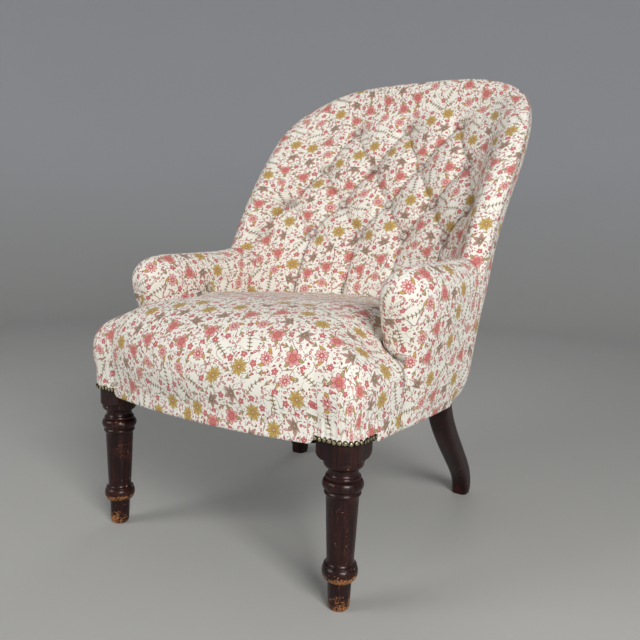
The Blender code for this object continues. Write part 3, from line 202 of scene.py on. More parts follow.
TUFT_FLAT = 0.75             # share of a button's radius before the pillows rise
TUFT_REACH = 0.021
TUFT_POWER = 1.2
PLEAT_REACH = 0.009
PLEAT_DEPTH = 0.42
PLEAT_POWER = 1.5
CREASE_REACH = 0.0021        # the sharp line at the bottom of a pleat
CREASE_DEPTH = 0.15
PUCKER_DEPTH = 0.0008        # small folds that run into a button
PUCKER_FOLDS = 9
PUCKER_RADIUS = 0.013
PUCKER_TURN = 40             # turns the folds of one button against those of the next
PLEAT_SHADE = (0.85, 0.0014)     # darkness and width of the painted shade in a pleat that is folded over
FAINT_SHADE = (0.35, 0.0012)     # of the other pleats
PIT_SHADE = (0.6, 0.007)         # and of the pit round a button

# Nails and the cloth under the seat
NAIL_RADIUS = 0.0036
NAIL_HEIGHT = 0.0026
NAIL_PITCH = 0.0072
NAIL_Z = 0.2372
BOTTOM_CLOTH_Z = 0.2279
CLOTH_SAG = 0.007
CLOTH_RIPPLE = 0.0006


# Plain maths on arrays

def blend(a, b, t):
    return a + (b - a) * t


def smoothstep(a, b, x):
    t = np.clip((x - a) / (b - a), 0.0, 1.0)
    return t * t * (3 - 2 * t)


def within(ends, x):
    """1 between two soft ends and 0 outside them."""
    rise, fall = ends
    return smoothstep(*rise, x) * (1 - smoothstep(*fall, x))


def line_at(points, x):
    """Smooth curve through given points, straight past its ends."""
    xs, ys = np.array(points).T
    slopes = np.gradient(ys, xs)
    slopes[1:-1] = (ys[2:] - ys[:-2]) / (xs[2:] - xs[:-2])
    x = np.asarray(x, float)
    i = np.clip(np.searchsorted(xs, x, side="right") - 1, 0, len(xs) - 2)
    span = xs[i + 1] - xs[i]
    t = (x - xs[i]) / span
    curve = (ys[i] * (1 + 2 * t) * (1 - t) ** 2 + slopes[i] * span * t * (1 - t) ** 2
             + ys[i + 1] * t * t * (3 - 2 * t) + slopes[i + 1] * span * t * t * (t - 1))
    below = ys[0] + (x - xs[0]) * slopes[0]
    above = ys[-1] + (x - xs[-1]) * slopes[-1]
    return np.where(x <= xs[0], below, np.where(x >= xs[-1], above, curve))


# Surfaces of the tub back, y from x and z

def side_x(z):
    z = np.asarray(z, float)
    rise = np.clip((z - BACK_WAIST_Z) / (BACK_TOP_Z - BACK_WAIST_Z), 0.0, 1.0)
    arch = BACK_HALF * (1 - rise ** BACK_ARCH_POWER) ** (1 / BACK_ARCH_POWER)
    return np.where(z <= BACK_WAIST_Z, line_at(SIDE_LINE, z), arch)


def rim_place(x, z):
    """Distance in from the back's outline, and the rim's y at the nearest edge."""
    x, z = np.abs(x), np.asarray(z, float)
    rise = np.maximum(0.0, (z - BACK_WAIST_Z) / (BACK_TOP_Z - BACK_WAIST_Z))
    power = BACK_ARCH_POWER
    share = np.maximum(1e-6, ((x / BACK_HALF) ** power + rise ** power) ** (1 / power))
    radius = np.hypot(x, z - BACK_WAIST_Z)
    edge_z = BACK_WAIST_Z + (z - BACK_WAIST_Z) / share
    low = z <= BACK_WAIST_Z
    inset = np.where(low, side_x(z) - x, radius * (1 / share - 1))
    return inset, line_at(RIM_LINE, np.where(low, z, edge_z))


def pad_base(x, z):
    """Surface through the button seats."""
    z = np.asarray(z, float)
    reach = np.minimum(1.0, np.abs(x) / side_x(np.minimum(z, BACK_WAIST_Z)))
    depth = line_at(PAD_LINE, z) - line_at(RIM_LINE, z) - PAD_EDGE_BACK
    return line_at(PAD_LINE, z) - depth * reach ** TUB_POWER


def button_places():
    places = {(side * x, z) for z, row in BUTTON_ROWS for x in row for side in (-1, 1)}
    return sorted(places, key=lambda place: (-place[1], place[0]))


def pleat_lines():
    """Folds from each button to its neighbours in the next row, and down behind the seat."""
    rows = [sorted({side * x for x in row for side in (-1, 1)}) for _, row in BUTTON_ROWS]
    heights = [z for z, _ in BUTTON_ROWS]
    near = 0.75 * (rows[1][1] - rows[1][0])
    lines = []
    for k in range(len(rows) - 1):
        lines += [((a, heights[k]), (b, heights[k + 1]))
                  for a in rows[k] for b in rows[k + 1] if abs(a - b) < near]
    lines += [((a, heights[-1]), (a, BACK_PAD_BOTTOM - 0.05)) for a in rows[-1]]
    return lines


BUTTONS = button_places()
PLEATS = pleat_lines()


def pleat_distance(x, z, pleats=PLEATS):
    """Distance to the nearest pleat."""
    nearest = np.full(np.shape(x), 1.0)
    for (ax, az), (bx, bz) in pleats:
        dx, dz = bx - ax, bz - az
        t = np.clip(((x - ax) * dx + (z - az) * dz) / (dx * dx + dz * dz), 0.0, 1.0)
        nearest = np.minimum(nearest, np.hypot(x - ax - t * dx, z - az - t * dz))
    return nearest


def tuft(x, z):
    """Height of the buttoned pillows, from 0 at a button to 1, and the small folds round the buttons."""
    to_button = np.full(np.shape(x), 1.0)
    pucker = np.zeros(np.shape(x))
    for bx, bz in BUTTONS:
        distance = np.hypot(x - bx, z - bz)
        folds = np.cos(PUCKER_FOLDS * np.arctan2(z - bz, x - bx) + PUCKER_TURN * bx)
        ring = (distance / PUCKER_RADIUS) ** 2 * np.exp(1 - (distance / PUCKER_RADIUS) ** 2)
        pucker += folds * ring
        to_button = np.minimum(to_button, distance)
    to_pleat = pleat_distance(x, z)
    past_button = np.maximum(0.0, to_button - TUFT_FLAT * BUTTON_RADIUS)
    swell = 1 - np.exp(-(past_button / TUFT_REACH) ** TUFT_POWER)
    soft = PLEAT_DEPTH * np.exp(-(to_pleat / PLEAT_REACH) ** PLEAT_POWER)
    sharp = CREASE_DEPTH * np.exp(-(to_pleat / CREASE_REACH) ** 2)
    height = swell * (1 - soft - sharp)
    beside_arm = smoothstep(ARM_INNER_X - 0.035, ARM_INNER_X - 0.01, np.abs(x))
    below_top = 1 - smoothstep(ARM_TOP_Z - 0.02, ARM_TOP_Z + 0.015, z)
    covered = beside_arm * below_top
    return blend(height, 1.0, covered), pucker * (1 - covered)


def roll_front(x, z):
    inset, rim_y = rim_place(x, z)
    depth = np.clip((RIM_RADIUS - inset) / RIM_RADIUS, 0.0, 1.0)
    return rim_y - RIM_EDGE - (RIM_RADIUS - RIM_EDGE) * np.sqrt(1 - depth * depth), inset


def pad_front(x, z, tufted=True):
    """Front of the inside back: buttoned field, running out into the rim roll."""
    roll, inset = roll_front(x, z)
    puff, pucker = tuft(x, z) if tufted else (1.0, 0.0)
    field = pad_base(x, z) - PAD_PUFF * puff - PUCKER_DEPTH * pucker
    near_rim = 1 - smoothstep(RIM_RADIUS * 0.8, RIM_BLEND, inset)
    return blend(field, roll, near_rim)


def smooth_pad(x, z):
    return pad_front(x, z, False)


def back_outer(x, z):
    """Outside of the back, an ellipse in plan at each height."""
    inset, rim_y = rim_place(x, z)
    share = np.clip(1 - inset / side_x(np.minimum(z, BACK_WAIST_Z)), 0.0, 1.0)
    return rim_y + (line_at(REAR_LINE, z) - rim_y) * np.sqrt(1 - share * share)


def pad_rear(x, z):
    inset, rim_y = rim_place(x, z)
    near_rim = 1 - smoothstep(0.004, RIM_BLEND, inset)
    return blend(pad_base(x, z) + PAD_BACKING, rim_y, near_rim)


def back_places(across, down, bottom):
    """Grid of (x, z) inside the back's outline, rows from the arch down."""
    fan = math.radians(80)
    u = np.sin(fan * np.linspace(-1, 1, across)) / math.sin(fan)
    w = np.linspace(1, -1, down)
    u, w = np.meshgrid(u, w)
    power = BACK_ARCH_POWER
    low_z = blend(BACK_WAIST_Z, bottom, -np.minimum(w, 0.0))
    arch_x = u * BACK_HALF * (1 - np.maximum(w, 0.0) ** power / 2) ** (1 / power)
    rise = np.maximum(w, 0.0) * (1 - np.abs(u) ** power / 2) ** (1 / power)
    x = np.where(w <= 0, u * side_x(low_z), arch_x)
    z = np.where(w <= 0, low_z, blend(BACK_WAIST_Z, BACK_TOP_Z, rise))
    return x, z


# Surfaces of the arms

def arm_outer_x(y, z):
    by_height = smoothstep(SEAT_BULGE_Z, ARM_TOP_Z - ARM_ROLL, z)
    by_depth = 1 - smoothstep(ARM_NOSE_Y, ARM_SWELL_END_Y, y)
    return blend(side_x(z), ARM_OUTER_X, by_height * by_depth)


def nose_length(z):
    return ARM_NOSE + ARM_NOSE_SWELL * smoothstep(ARM_INNER_SKIRT_Z, ARM_TOP_Z - ARM_ROLL, z)


def nose_y(x, z):
    off = np.minimum(1.0, np.abs(x - ARM_MID_X) / (ARM_WIDTH / 2))
    return ARM_NOSE_Y - nose_length(z) * (1 - off ** ARM_NOSE_POWER) ** (1 / ARM_NOSE_POWER)


def arm_points(place, arc):
    """Points on an arm: place 0 at the back, 1 where the nose starts, 2 at its tip; arc 0 at the
    inner lower edge, 0.5 on top and 1 at the outer lower edge."""
    turn = math.radians(90) * np.clip(place - 1, 0.0, 1.0)
    narrow = np.maximum(0.0, np.cos(turn)) ** (2 / ARM_NOSE_POWER)
    narrow = np.where(place >= 2, 0.0, narrow)
    rear_y = RIM_LINE[0][1]
    y = np.where(place >= 1, ARM_NOSE_Y, blend(rear_y, ARM_NOSE_Y, place))
    wall_top = ARM_TOP_Z + ARM_TOP_SLOPE * (y - ARM_NOSE_Y) - ARM_ROLL - ARM_NOSE_DROP * (1 - narrow)
    climb = 1 - np.abs(2 * arc - 1)
    outer = arc > 0.5
    edge = np.where(outer, arm_outer_x(y, wall_top), ARM_INNER_X)
    outwards = smoothstep(FRAME_X - 0.013, FRAME_X + COVER_OUT, blend(ARM_MID_X, edge, narrow))
    skirt = blend(ARM_INNER_SKIRT_Z, ARM_OUTER_SKIRT_Z, outwards)
    wall_z = blend(skirt, wall_top, climb / ARM_WALL_SHARE)
    angle = math.radians(90) * (climb - ARM_WALL_SHARE) / (1 - ARM_WALL_SHARE)
    on_wall = climb <= ARM_WALL_SHARE
    z = np.where(on_wall, wall_z, wall_top + ARM_ROLL * np.sin(angle) * narrow)
    reach = np.where(on_wall, 1.0, np.cos(angle))
    edge = np.where(outer, arm_outer_x(y, z), ARM_INNER_X)
    x = blend(ARM_MID_X, edge, reach * narrow)
    pad_z = np.maximum(z, BACK_PAD_BOTTOM)
    pad_x = x * side_x(pad_z) / side_x(z)
    behind_pad = smooth_pad(pad_x, pad_z) + ARM_BEHIND_PAD
    back_y = np.minimum(behind_pad, line_at(RIM_LINE, z) + ARM_BEHIND_RIM)
    nose = ARM_NOSE_Y - nose_length(z) * np.sin(turn) ** (2 / ARM_NOSE_POWER)
    y = np.where(place >= 1, nose, blend(back_y, ARM_NOSE_Y, place))
    return np.stack([x, y, z], -1)


# Surfaces of the seat

def seat_front(x):
    inner = LEG_X - BLOCK_HALF
    swell = blend(SEAT_FRONT_BULGE, SEAT_BULGE, np.minimum(1.0, np.abs(x) / inner))
    y = -(BLOCK_HALF + COVER_OUT) - swell - FRONT_BOW * np.maximum(0.0, 1 - (x / inner) ** 2)
    past = np.maximum(0.0, np.abs(x) - SEAT_HALF + SEAT_RADIUS)
    return y + SEAT_RADIUS - np.sqrt(np.maximum(0.0, SEAT_RADIUS ** 2 - past ** 2)), swell


def seat_level(x, y):
    """How far out a place is on the seat, about 1 at its edge."""
    flat = blend(1.0, SEAT_REAR_FLAT, smoothstep(SEAT_MID_Y, ARM_NOSE_Y + 0.03, y))
    across = np.minimum(1.0, np.abs(x) / SEAT_HALF) * flat
    front_y = seat_front(np.minimum(np.abs(x), SEAT_HALF - SEAT_RADIUS))[0]
    along = np.clip((SEAT_MID_Y - y) / (SEAT_MID_Y - front_y), 0.0, 1.0)
    power = 4 + 8 * np.maximum(across, along) ** 2
    return (across ** power + along ** power) ** (1 / power)


def seat_top(x, y):
    rim_y = seat_front(np.minimum(np.abs(x), SEAT_HALF))[0]
    near_rim = np.clip((SEAT_MID_Y - y) / (SEAT_MID_Y - rim_y), 0.0, 1.0)
    level = np.minimum(1.0, seat_level(x, y) / blend(1.0, seat_level(x, rim_y), near_rim ** 4))
    crown = SEAT_CROWN_Z - SEAT_BACK_FALL * smoothstep(SEAT_MID_Y, SEAT_MID_Y + 0.25, y)
    near_nose = smoothstep(*SEAT_DIP_X, np.abs(x)) * np.exp(-((y - ARM_FRONT_Y) / SEAT_DIP_REACH) ** 2)
    dip = SEAT_DIP * near_nose * (1 - level ** SEAT_DIP_POWER)
    rise = (1 - level ** SEAT_CROWN_POWER) ** (1 / SEAT_EDGE_POWER)
    return blend(SEAT_BULGE_Z, crown, rise) - dip


# Meshes

def grid_faces(rows, columns, keep=None):
    """Quads of a grid, as rows of four vertex numbers."""
    i, j = np.meshgrid(np.arange(rows - 1), np.arange(columns - 1), indexing="ij")
    first = (i * columns + j).ravel()
    quads = np.stack([first, first + 1, first + columns + 1, first + columns], -1)
    return quads if keep is None else quads[keep(i.ravel(), j.ravel())]


def add_object(name, data):
    obj = bpy.data.objects.new(name, data)
    bpy.context.scene.collection.objects.link(obj)
    return obj


def reshape(obj, change):
    """Runs a change on an object's mesh as a bmesh."""
    shape = bmesh.new()
    shape.from_mesh(obj.data)
    change(shape)
    shape.to_mesh(obj.data)
    shape.free()


def add_mesh(name, points, faces, finish, cloth=None, flip=False):
    """New smooth object from points in the leg frame, with the cloth's lengths as a UV map."""
    points = np.asarray(points, float).reshape(-1, 3) + (0.0, LEG_Y, 0.0)
    faces = faces.tolist() if isinstance(faces, np.ndarray) else faces
    faces = [face[::-1] for face in faces] if flip else faces
    mesh = bpy.data.meshes.new(name)
    mesh.from_pydata(points.tolist(), [], faces)
    if cloth is not None:
        layer = mesh.uv_layers.new(name=CLOTH_MAP)
        corners = np.empty(len(mesh.loops), int)
        mesh.loops.foreach_get("vertex_index", corners)
        layer.uv.foreach_set("vector", np.asarray(cloth, np.float32).reshape(-1, 2)[corners].ravel())
    mesh.shade_smooth()
    mesh.materials.append(finish)
    return add_object(name, mesh)


def stand_for(obj, slot, *nodes):
    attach(obj, BODY)
    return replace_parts(obj, *nodes)


def cloth_lengths(surface, x, z, x_mark, z_mark):
    """Lengths across and up a cloth y(x, z), measured along it from a mark."""
    t = np.linspace(0.0, 1.0, 25)
    xs = x_mark + (x - x_mark)[..., None] * t
    ys = surface(xs, np.broadcast_to(z[..., None], xs.shape))
    across = np.hypot(np.diff(xs, axis=-1), np.diff(ys, axis=-1)).sum(-1) * np.sign(x - x_mark)
    zs = z_mark + (z - z_mark)[..., None] * t
    ys = surface(np.broadcast_to(x[..., None], zs.shape), zs)
    up = np.hypot(np.diff(zs, axis=-1), np.diff(ys, axis=-1)).sum(-1) * np.sign(z - z_mark)
    return np.stack([across, up], -1)


CLOTH_MAP = "cloth"
# name of the attribute that holds each point's painted shade
PAINTED_SHADE_MARK = "painted_shade"


# Surface finishes

def tone(red, green, blue):
    """Colour as it reads on a screen, from 0 to 255, as the light values that shaders use."""
    def light(c):
        c /= 255
        return c / 12.92 if c <= 0.04045 else ((c + 0.055) / 1.055) ** 2.4
    return (light(red), light(green), light(blue), 1.0)


class Value:
    """A number on a surface. Arithmetic on it adds Math nodes."""

    def __init__(self, finish, socket):
        self.finish = finish
        self.socket = socket

    def math(self, operation, *others):
        return self.finish.node("ShaderNodeMath", {"operation": operation}, self, *others)

    def __add__(self, other):
        return self.math("ADD", other)

    def __sub__(self, other):
        return self.math("SUBTRACT", other)

    def __rsub__(self, other):
        return self.finish.node("ShaderNodeMath", {"operation": "SUBTRACT"}, other, self)

    def __mul__(self, other):
        return self.math("MULTIPLY", other)

    def __truediv__(self, other):
        return self.math("DIVIDE", other)

    def __mod__(self, other):
        return self.math("FLOORED_MODULO", other)

    def __abs__(self):
        return self.math("ABSOLUTE")

    __radd__ = __add__
    __rmul__ = __mul__


class Finish:
    """A material in the making, on one Principled shader."""

    def __init__(self, name, **constants):
        self.material = bpy.data.materials.new(name)
        self.material.use_nodes = True
        self.tree = self.material.node_tree
        self.shader = self.tree.nodes["Principled BSDF"]
        for socket, value in constants.items():
            self.shader.inputs[socket.replace("_", " ")].default_value = value

    def node(self, kind, settings, *inputs, out=0, at=None, **named):
        """Adds a node: its settings first, then the values or links of its sockets, in order, by their
        numbers or by their names."""
        made = self.tree.nodes.new(kind)
        for key, value in settings.items():
            setattr(made, key, value)
        sockets = {**dict(enumerate(inputs)), **(at or {})}
        sockets.update({key.replace("_", " "): value for key, value in named.items()})
        for place, value in sockets.items():
            self.feed(made.inputs[place], value)
        return Value(self, made.outputs[out])

    def feed(self, socket, value):
        if isinstance(value, Value):
            self.tree.links.new(value.socket, socket)
        else:
            socket.default_value = value

    def set(self, socket, value):
        self.feed(self.shader.inputs[socket], value)

    def mix(self, share, under, over):
        """One colour over another."""
        colours = {0: share, 6: under, 7: over}
        return self.node("ShaderNodeMix", {"data_type": "RGBA"}, out=2, at=colours)

    def ease(self, low, high, value):
        """0 at low, 1 at high, smooth between; low may be the larger."""
        return self.node("ShaderNodeMapRange", {"interpolation_type": "SMOOTHSTEP"}, Value=value,
                         From_Min=low, From_Max=high)

    def noise(self, place, scale, detail=2.0, roughness=0.5, out=0):
        return self.node("ShaderNodeTexNoise", {}, out=out, Vector=place, Scale=scale, Detail=detail,
                         Roughness=roughness)

    def split(self, vector):
        made = self.node("ShaderNodeSeparateXYZ", {}, vector)
        return [Value(self, socket) for socket in made.socket.node.outputs]

    def join(self, x, y, z=0.0):
        return self.node("ShaderNodeCombineXYZ", {}, x, y, z)

    def stretch(self, vector, by):
        return self.node("ShaderNodeVectorMath", {"operation": "MULTIPLY"}, vector, by)

    def bump(self, height, depth, strength=1.0):
        made = self.node("ShaderNodeBump", {}, Height=height, Distance=depth, Strength=strength)
        self.set("Normal", made)

    def object_place(self):
        return self.node("ShaderNodeTexCoord", {}, out=3)


# The print: blooms, posies and seeds on a half-drop lattice over trailing stems, drawn in millimetres

CREAM = tone(244, 242, 231)
CREAM_SHADE = tone(238, 234, 222)
ROSE = tone(216, 124, 118)
BLUSH = tone(238, 190, 178)
CARMINE = tone(168, 54, 78)
OCHRE = tone(202, 164, 78)
PALE_OCHRE = tone(224, 202, 140)
UMBER = tone(120, 90, 64)
TAUPE = tone(156, 132, 110)
MAUVE = tone(198, 146, 138)
OLIVE = tone(170, 154, 100)
SAGE = tone(158, 164, 142)
APRICOT = tone(214, 140, 92)
# painted shade: the dark tone the cloth is mixed towards in pleats, creases and round buttons
PAINTED_SHADE_TONE = tone(92, 70, 58)
INK_EDGE = 0.28              # softness of a printed edge
LINE_INK = 0.8               # strength of a drawn line
MILLIMETRES = 1000           # in a metre
PRINT_SIZE = 0.90            # lower is larger
PRINT_STRENGTH = 0.94        # a little faded
THREADS = 6300.0             # weave of about one thread a millimetre, in radians a metre


class Spot:
    """One place of the lattice: its kind, a turn of its own, and coordinates in millimetres."""

    def __init__(self, finish, cloth, pitch, shift, kinds, seed, wander):
        self.finish = finish
        across, up, _ = finish.split(cloth)
        column_place = across * (MILLIMETRES / pitch) + shift
        column = column_place.math("FLOOR")
        row_place = up * (MILLIMETRES / pitch) + column * 0.5
        row = row_place.math("FLOOR")
        start = finish.node("ShaderNodeTexWhiteNoise", {"noise_dimensions": "2D"},
                            Vector=finish.join(column, seed))
        self.number = ((start * kinds).math("FLOOR") + row) % kinds
        chance = finish.node("ShaderNodeTexWhiteNoise", {"noise_dimensions": "3D"}, out=1,
                             Vector=finish.join(column, row, seed))
        self.first, self.second, third = finish.split(chance)
        x = (column_place - column - 0.5 - (self.first - 0.5) * wander) * pitch
        y = (row_place - row - 0.5 - (self.second - 0.5) * wander) * pitch
        self.place = self.turned(finish.join(x, y), third * (2 * math.pi))
        self.x, self.y, _ = finish.split(self.place)
        self.away = finish.node("ShaderNodeVectorMath", {"operation": "LENGTH"}, self.place, out=1)
        self.angle = self.y.math("ARCTAN2", self.x)

    def turned(self, place, angle, back=False):
        settings = {"rotation_type": "Z_AXIS", "invert": back}
        return self.finish.node("ShaderNodeVectorRotate", settings, Vector=place, Angle=angle)

    def is_kind(self, k):
        return self.number.math("COMPARE", float(k), 0.5)

    def petal(self, count, turn=0.0):
        """Coordinates along the nearest of several petals."""
        each = 2 * math.pi / count
        axis = (self.angle + (each / 2 - turn)).math("SNAP", each) + turn
        return self.turned(self.place, axis, back=True)

    def oval(self, place, centre, length, width):
        """How far inside an oval a point is, in millimetres."""
        finish = self.finish
        scale = (1 / length, 1 / width, 0.0)
        shift = (-centre[0] / length, -centre[1] / width, 0.0)
        shrunk = finish.node("ShaderNodeVectorMath", {"operation": "MULTIPLY_ADD"}, place, scale, shift)
        out = finish.node("ShaderNodeVectorMath", {"operation": "LENGTH"}, shrunk, out=1)
        return out.math("MULTIPLY_ADD", -width, width)

    def leaf(self, place, centre, length, width):
        """How far inside a leaf with two pointed ends a point is, in millimetres."""
        x, y, _ = self.finish.split(place)
        along = (x - centre[0]) / length
        return (along * along).math("MULTIPLY_ADD", -width, width) - abs(y - centre[1])

    def stroke(self, off, half, start, end, along):
        """Mask of a printed line of a half width, from a start to an end along it."""
        ease = self.finish.ease
        line = ease(half + 0.2, half - 0.1, abs(off))
        return line * ease(start - 0.4, start, along) * ease(end + 0.4, end, along)

    def outlined(self, under, inside, line, fill, outline):
        """A printed shape of one colour with a line of another round it."""
        mix, ease = self.finish.mix, self.finish.ease
        under = mix(ease(-INK_EDGE, INK_EDGE, inside), under, outline)
        return mix(ease(line - INK_EDGE, line + INK_EDGE, inside), under, fill)


def rosette(spot, under):
    """Double pink bloom with drawn petals, an ochre eye and three leaves."""
    finish = spot.finish
    leaf = spot.leaf(spot.petal(3, 0.5), (10.4, 0.0), 5.6, 2.5)
    colour = spot.outlined(under, leaf, 0.5, OLIVE, UMBER)
    petal = spot.petal(6)
    shade = finish.mix(finish.ease(3.5, 10.0, spot.away), ROSE, BLUSH)
    colour = spot.outlined(colour, spot.oval(petal, (6.2, 0.0), 5.2, 3.5), 0.7, shade, CARMINE)
    along, over, _ = finish.split(petal)
    veins = spot.stroke(abs(over) - 1.1, 0.18, 3.0, 9.0, along)
    colour = finish.mix(veins * LINE_INK, colour, CARMINE)
    inner = spot.oval(spot.petal(5, 0.4), (2.8, 0.0), 2.6, 2.0)
    colour = spot.outlined(colour, inner, 0.6, ROSE, CARMINE)
    return spot.outlined(colour, 1.4 - spot.away, 0.4, OCHRE, UMBER)


def leaf_spray(spot, under):
    """Fan of brown and mauve leaves on a short stem, with a bud."""
    finish = spot.finish
    bend = spot.y - (spot.x * 0.22).math("SINE") * 2.2
    colour = finish.mix(spot.stroke(bend, 0.4, -13.5, 0.0, spot.x), under, UMBER)
    leaf = spot.petal(6)
    fill = finish.mix(finish.ease(3.0, 10.0, spot.away), TAUPE, MAUVE)
    leaves = spot.outlined(colour, spot.leaf(leaf, (7.0, 0.0), 6.4, 3.0), 0.6, fill, UMBER)
    along, over, _ = finish.split(leaf)
    leaves = finish.mix(spot.stroke(over, 0.12, 2.0, 11.0, along) * LINE_INK, leaves, UMBER)
    colour = finish.mix(finish.ease(-4.2, -3.6, spot.x), colour, leaves)
    return spot.outlined(colour, spot.oval(spot.place, (-9.5, 3.4), 2.6, 1.9), 0.6, ROSE, CARMINE)


def star_bloom(spot, under):
    """Ochre flower of pointed petals, long and short in turn."""
    finish = spot.finish
    short, long = spot.petal(7, math.pi / 7), spot.petal(7)
    colour = spot.outlined(under, spot.leaf(short, (6.0, 0.0), 5.6, 1.7), 0.45, PALE_OCHRE, UMBER)
    colour = spot.outlined(colour, spot.leaf(long, (6.6, 0.0), 6.4, 2.3), 0.5, OCHRE, UMBER)
    along, over, _ = finish.split(long)
    colour = finish.mix(spot.stroke(over, 0.15, 1.5, 9.5, along) * LINE_INK, colour, UMBER)
    return spot.outlined(colour, 1.8 - spot.away, 0.5, BLUSH, UMBER)


def fern(spot, under):
    """Long stem with small leaves in pairs."""
    finish = spot.finish
    bend = spot.y - (spot.x * 0.16).math("SINE") * 2.0
    colour = finish.mix(spot.stroke(bend, 0.4, -13.5, 12.0, spot.x), under, UMBER)
    leaf = spot.turned(finish.join(spot.x % 5.2 - 3.2, abs(bend)), -0.85)
    inside = spot.leaf(leaf, (3.9, 0.0), 4.0, 1.5)
    leaves = spot.outlined(colour, inside, 0.45, finish.mix(spot.first, OLIVE, TAUPE), UMBER)
    colour = finish.mix(finish.ease(12.6, 11.8, abs(spot.x)), colour, leaves)
    return spot.outlined(colour, spot.oval(spot.place, (12.6, 1.6), 2.6, 1.8), 0.5, ROSE, CARMINE)


def daisy(spot, under):
    """Pale daisy with a rose eye and two leaves."""
    sides = spot.turned(spot.finish.join(spot.x, abs(spot.y)), -0.5)
    colour = spot.outlined(under, spot.leaf(sides, (6.0, 8.0), 5.4, 2.1), 0.5, OCHRE, UMBER)
    petal = spot.petal(10)
    colour = spot.outlined(colour, spot.oval(petal, (5.6, 0.0), 3.7, 1.8), 0.6, BLUSH, CARMINE)
    colour = spot.outlined(colour, 3.3 - spot.away, 0.7, ROSE, CARMINE)
    return spot.outlined(colour, 1.3 - spot.away, 0.3, CREAM, CARMINE)


def posy(spot, under):
    """Small pink flower with a pale eye."""
    finish = spot.finish
    petal = spot.petal(5)
    colour = spot.outlined(under, spot.oval(petal, (2.6, 0.0), 2.4, 1.8), 0.65, ROSE, CARMINE)
    return finish.mix(finish.ease(0.9, 0.5, spot.away), colour, CREAM)


def berries(spot, under):
    """Three pale berries on short stalks."""
    finish = spot.finish
    berry = spot.petal(3)
    along, over, _ = finish.split(berry)
    colour = finish.mix(spot.stroke(over, 0.3, 0.0, 2.6, along), under, TAUPE)
    return spot.outlined(colour, spot.oval(berry, (3.8, 0.0), 2.3, 1.7), 0.75, BLUSH, CARMINE)


def bud_spray(spot, under):
    """Apricot bud on a stem with two leaves."""
    finish = spot.finish
    sides = spot.turned(finish.join(spot.x, abs(spot.y)), -0.6)
    colour = finish.mix(spot.stroke(spot.y, 0.35, -6.0, 3.0, spot.x), under, UMBER)
    colour = spot.outlined(colour, spot.oval(sides, (0.4, 1.5), 3.3, 1.15), 0.4, OLIVE, UMBER)
    return spot.outlined(colour, spot.oval(spot.place, (4.4, 0.0), 2.7, 1.7), 0.6, APRICOT, CARMINE)


def trailing_stems(finish, cloth, under):
    """Thin stems that wander up and across the cloth."""
    across, up, _ = finish.split(cloth)
    drift, sway, _ = finish.split(finish.noise(cloth, 30.0, 1.0, out=1))
    x = across * MILLIMETRES + drift * 40
    y = up * MILLIMETRES + sway * 40
    rising = abs((x + (y * 0.16).math("SINE") * 4.0) % 21.0 - 10.5)
    level = abs((y + (x * 0.19).math("SINE") * 3.5) % 26.0 - 13.0)
    broken = finish.ease(0.42, 0.5, finish.noise(cloth, 48.0, 0.0))
    colour = finish.mix(finish.ease(0.75, 0.35, rising) * broken, under, TAUPE)
    return finish.mix(finish.ease(0.7, 0.35, level) * (1 - broken), colour, SAGE)


def scattered_seeds(finish, cloth, under):
    """Small almond seeds, dashes and curls."""
    dash = Spot(finish, cloth, pitch=3.9, shift=0.3, kinds=5, seed=12.0, wander=0.5)
    fleck = finish.ease(-0.2, 0.25, dash.oval(dash.place, (0.0, 0.0), 1.5, 0.6))
    fleck = fleck * dash.number.math("LESS_THAN", 2.5)
    colour = finish.mix(fleck * LINE_INK, under, finish.mix(dash.first, UMBER, CARMINE))
    seed = Spot(finish, cloth, pitch=6.0, shift=0.1, kinds=5, seed=9.0, wander=0.5)
    almond = seed.oval(seed.place, (0.0, 0.0), 2.2, 1.25)
    heart = finish.mix(seed.second.math("GREATER_THAN", 0.55), CARMINE, BLUSH)
    seeds = seed.outlined(colour, almond, 0.7, heart, CARMINE)
    colour = finish.mix(seed.number.math("LESS_THAN", 2.5), colour, seeds)
    curl = seed.stroke(seed.y - (seed.x * 0.8).math("SINE") * 0.9, 0.28, -2.4, 2.4, seed.x)
    return finish.mix(curl * seed.is_kind(3), colour, UMBER)


def printed_cotton():
    """Cotton with an all-over flower print; cloth deep in a pleat is darkened with painted shade."""
    finish = Finish("printed_cotton", Roughness=0.85, Sheen_Weight=0.12, Sheen_Roughness=0.5,
                    Specular_IOR_Level=0.25)
    lengths = finish.node("ShaderNodeUVMap", {"uv_map": CLOTH_MAP})
    cloth = finish.stretch(lengths, (PRINT_SIZE, PRINT_SIZE, 1.0))
    plain = finish.mix(finish.noise(cloth, 14.0), CREAM, CREAM_SHADE)
    stems = trailing_stems(finish, cloth, plain)
    small = Spot(finish, cloth, pitch=16.5, shift=0.5, kinds=3, seed=4.0, wander=0.14)
    large = Spot(finish, cloth, pitch=33.0, shift=0.0, kinds=5, seed=1.0, wander=0.2)
    seeds = scattered_seeds(finish, cloth, stems)
    colour = finish.mix(finish.ease(6.8, 5.6, small.away), seeds, stems)
    for k, draw in enumerate((posy, berries, bud_spray)):
        colour = finish.mix(small.is_kind(k), colour, draw(small, colour))
    colour = finish.mix(finish.ease(13.6, 12.4, large.away), colour, stems)
    for k, draw in enumerate((rosette, leaf_spray, star_bloom, fern, daisy)):
        colour = finish.mix(large.is_kind(k), colour, draw(large, colour))
    # painted shade: the cloth is mixed towards a dark tone by each point's shade mark
    fold = finish.node("ShaderNodeAttribute", {"attribute_name": PAINTED_SHADE_MARK}, out=2)
    faded = finish.mix(PRINT_STRENGTH, finish.node("ShaderNodeRGBToBW", {}, colour), colour)
    finish.set("Base Color", finish.mix(fold, faded, PAINTED_SHADE_TONE))
    across, up, _ = finish.split(cloth)
    threads = (across * THREADS).math("SINE") * (up * THREADS).math("SINE")
    finish.bump(threads * 0.00002 + finish.noise(cloth, 60.0, 3.0) * 0.0006, 1.0, 0.6)
    return finish.material


# Wood, metal and plain cloth

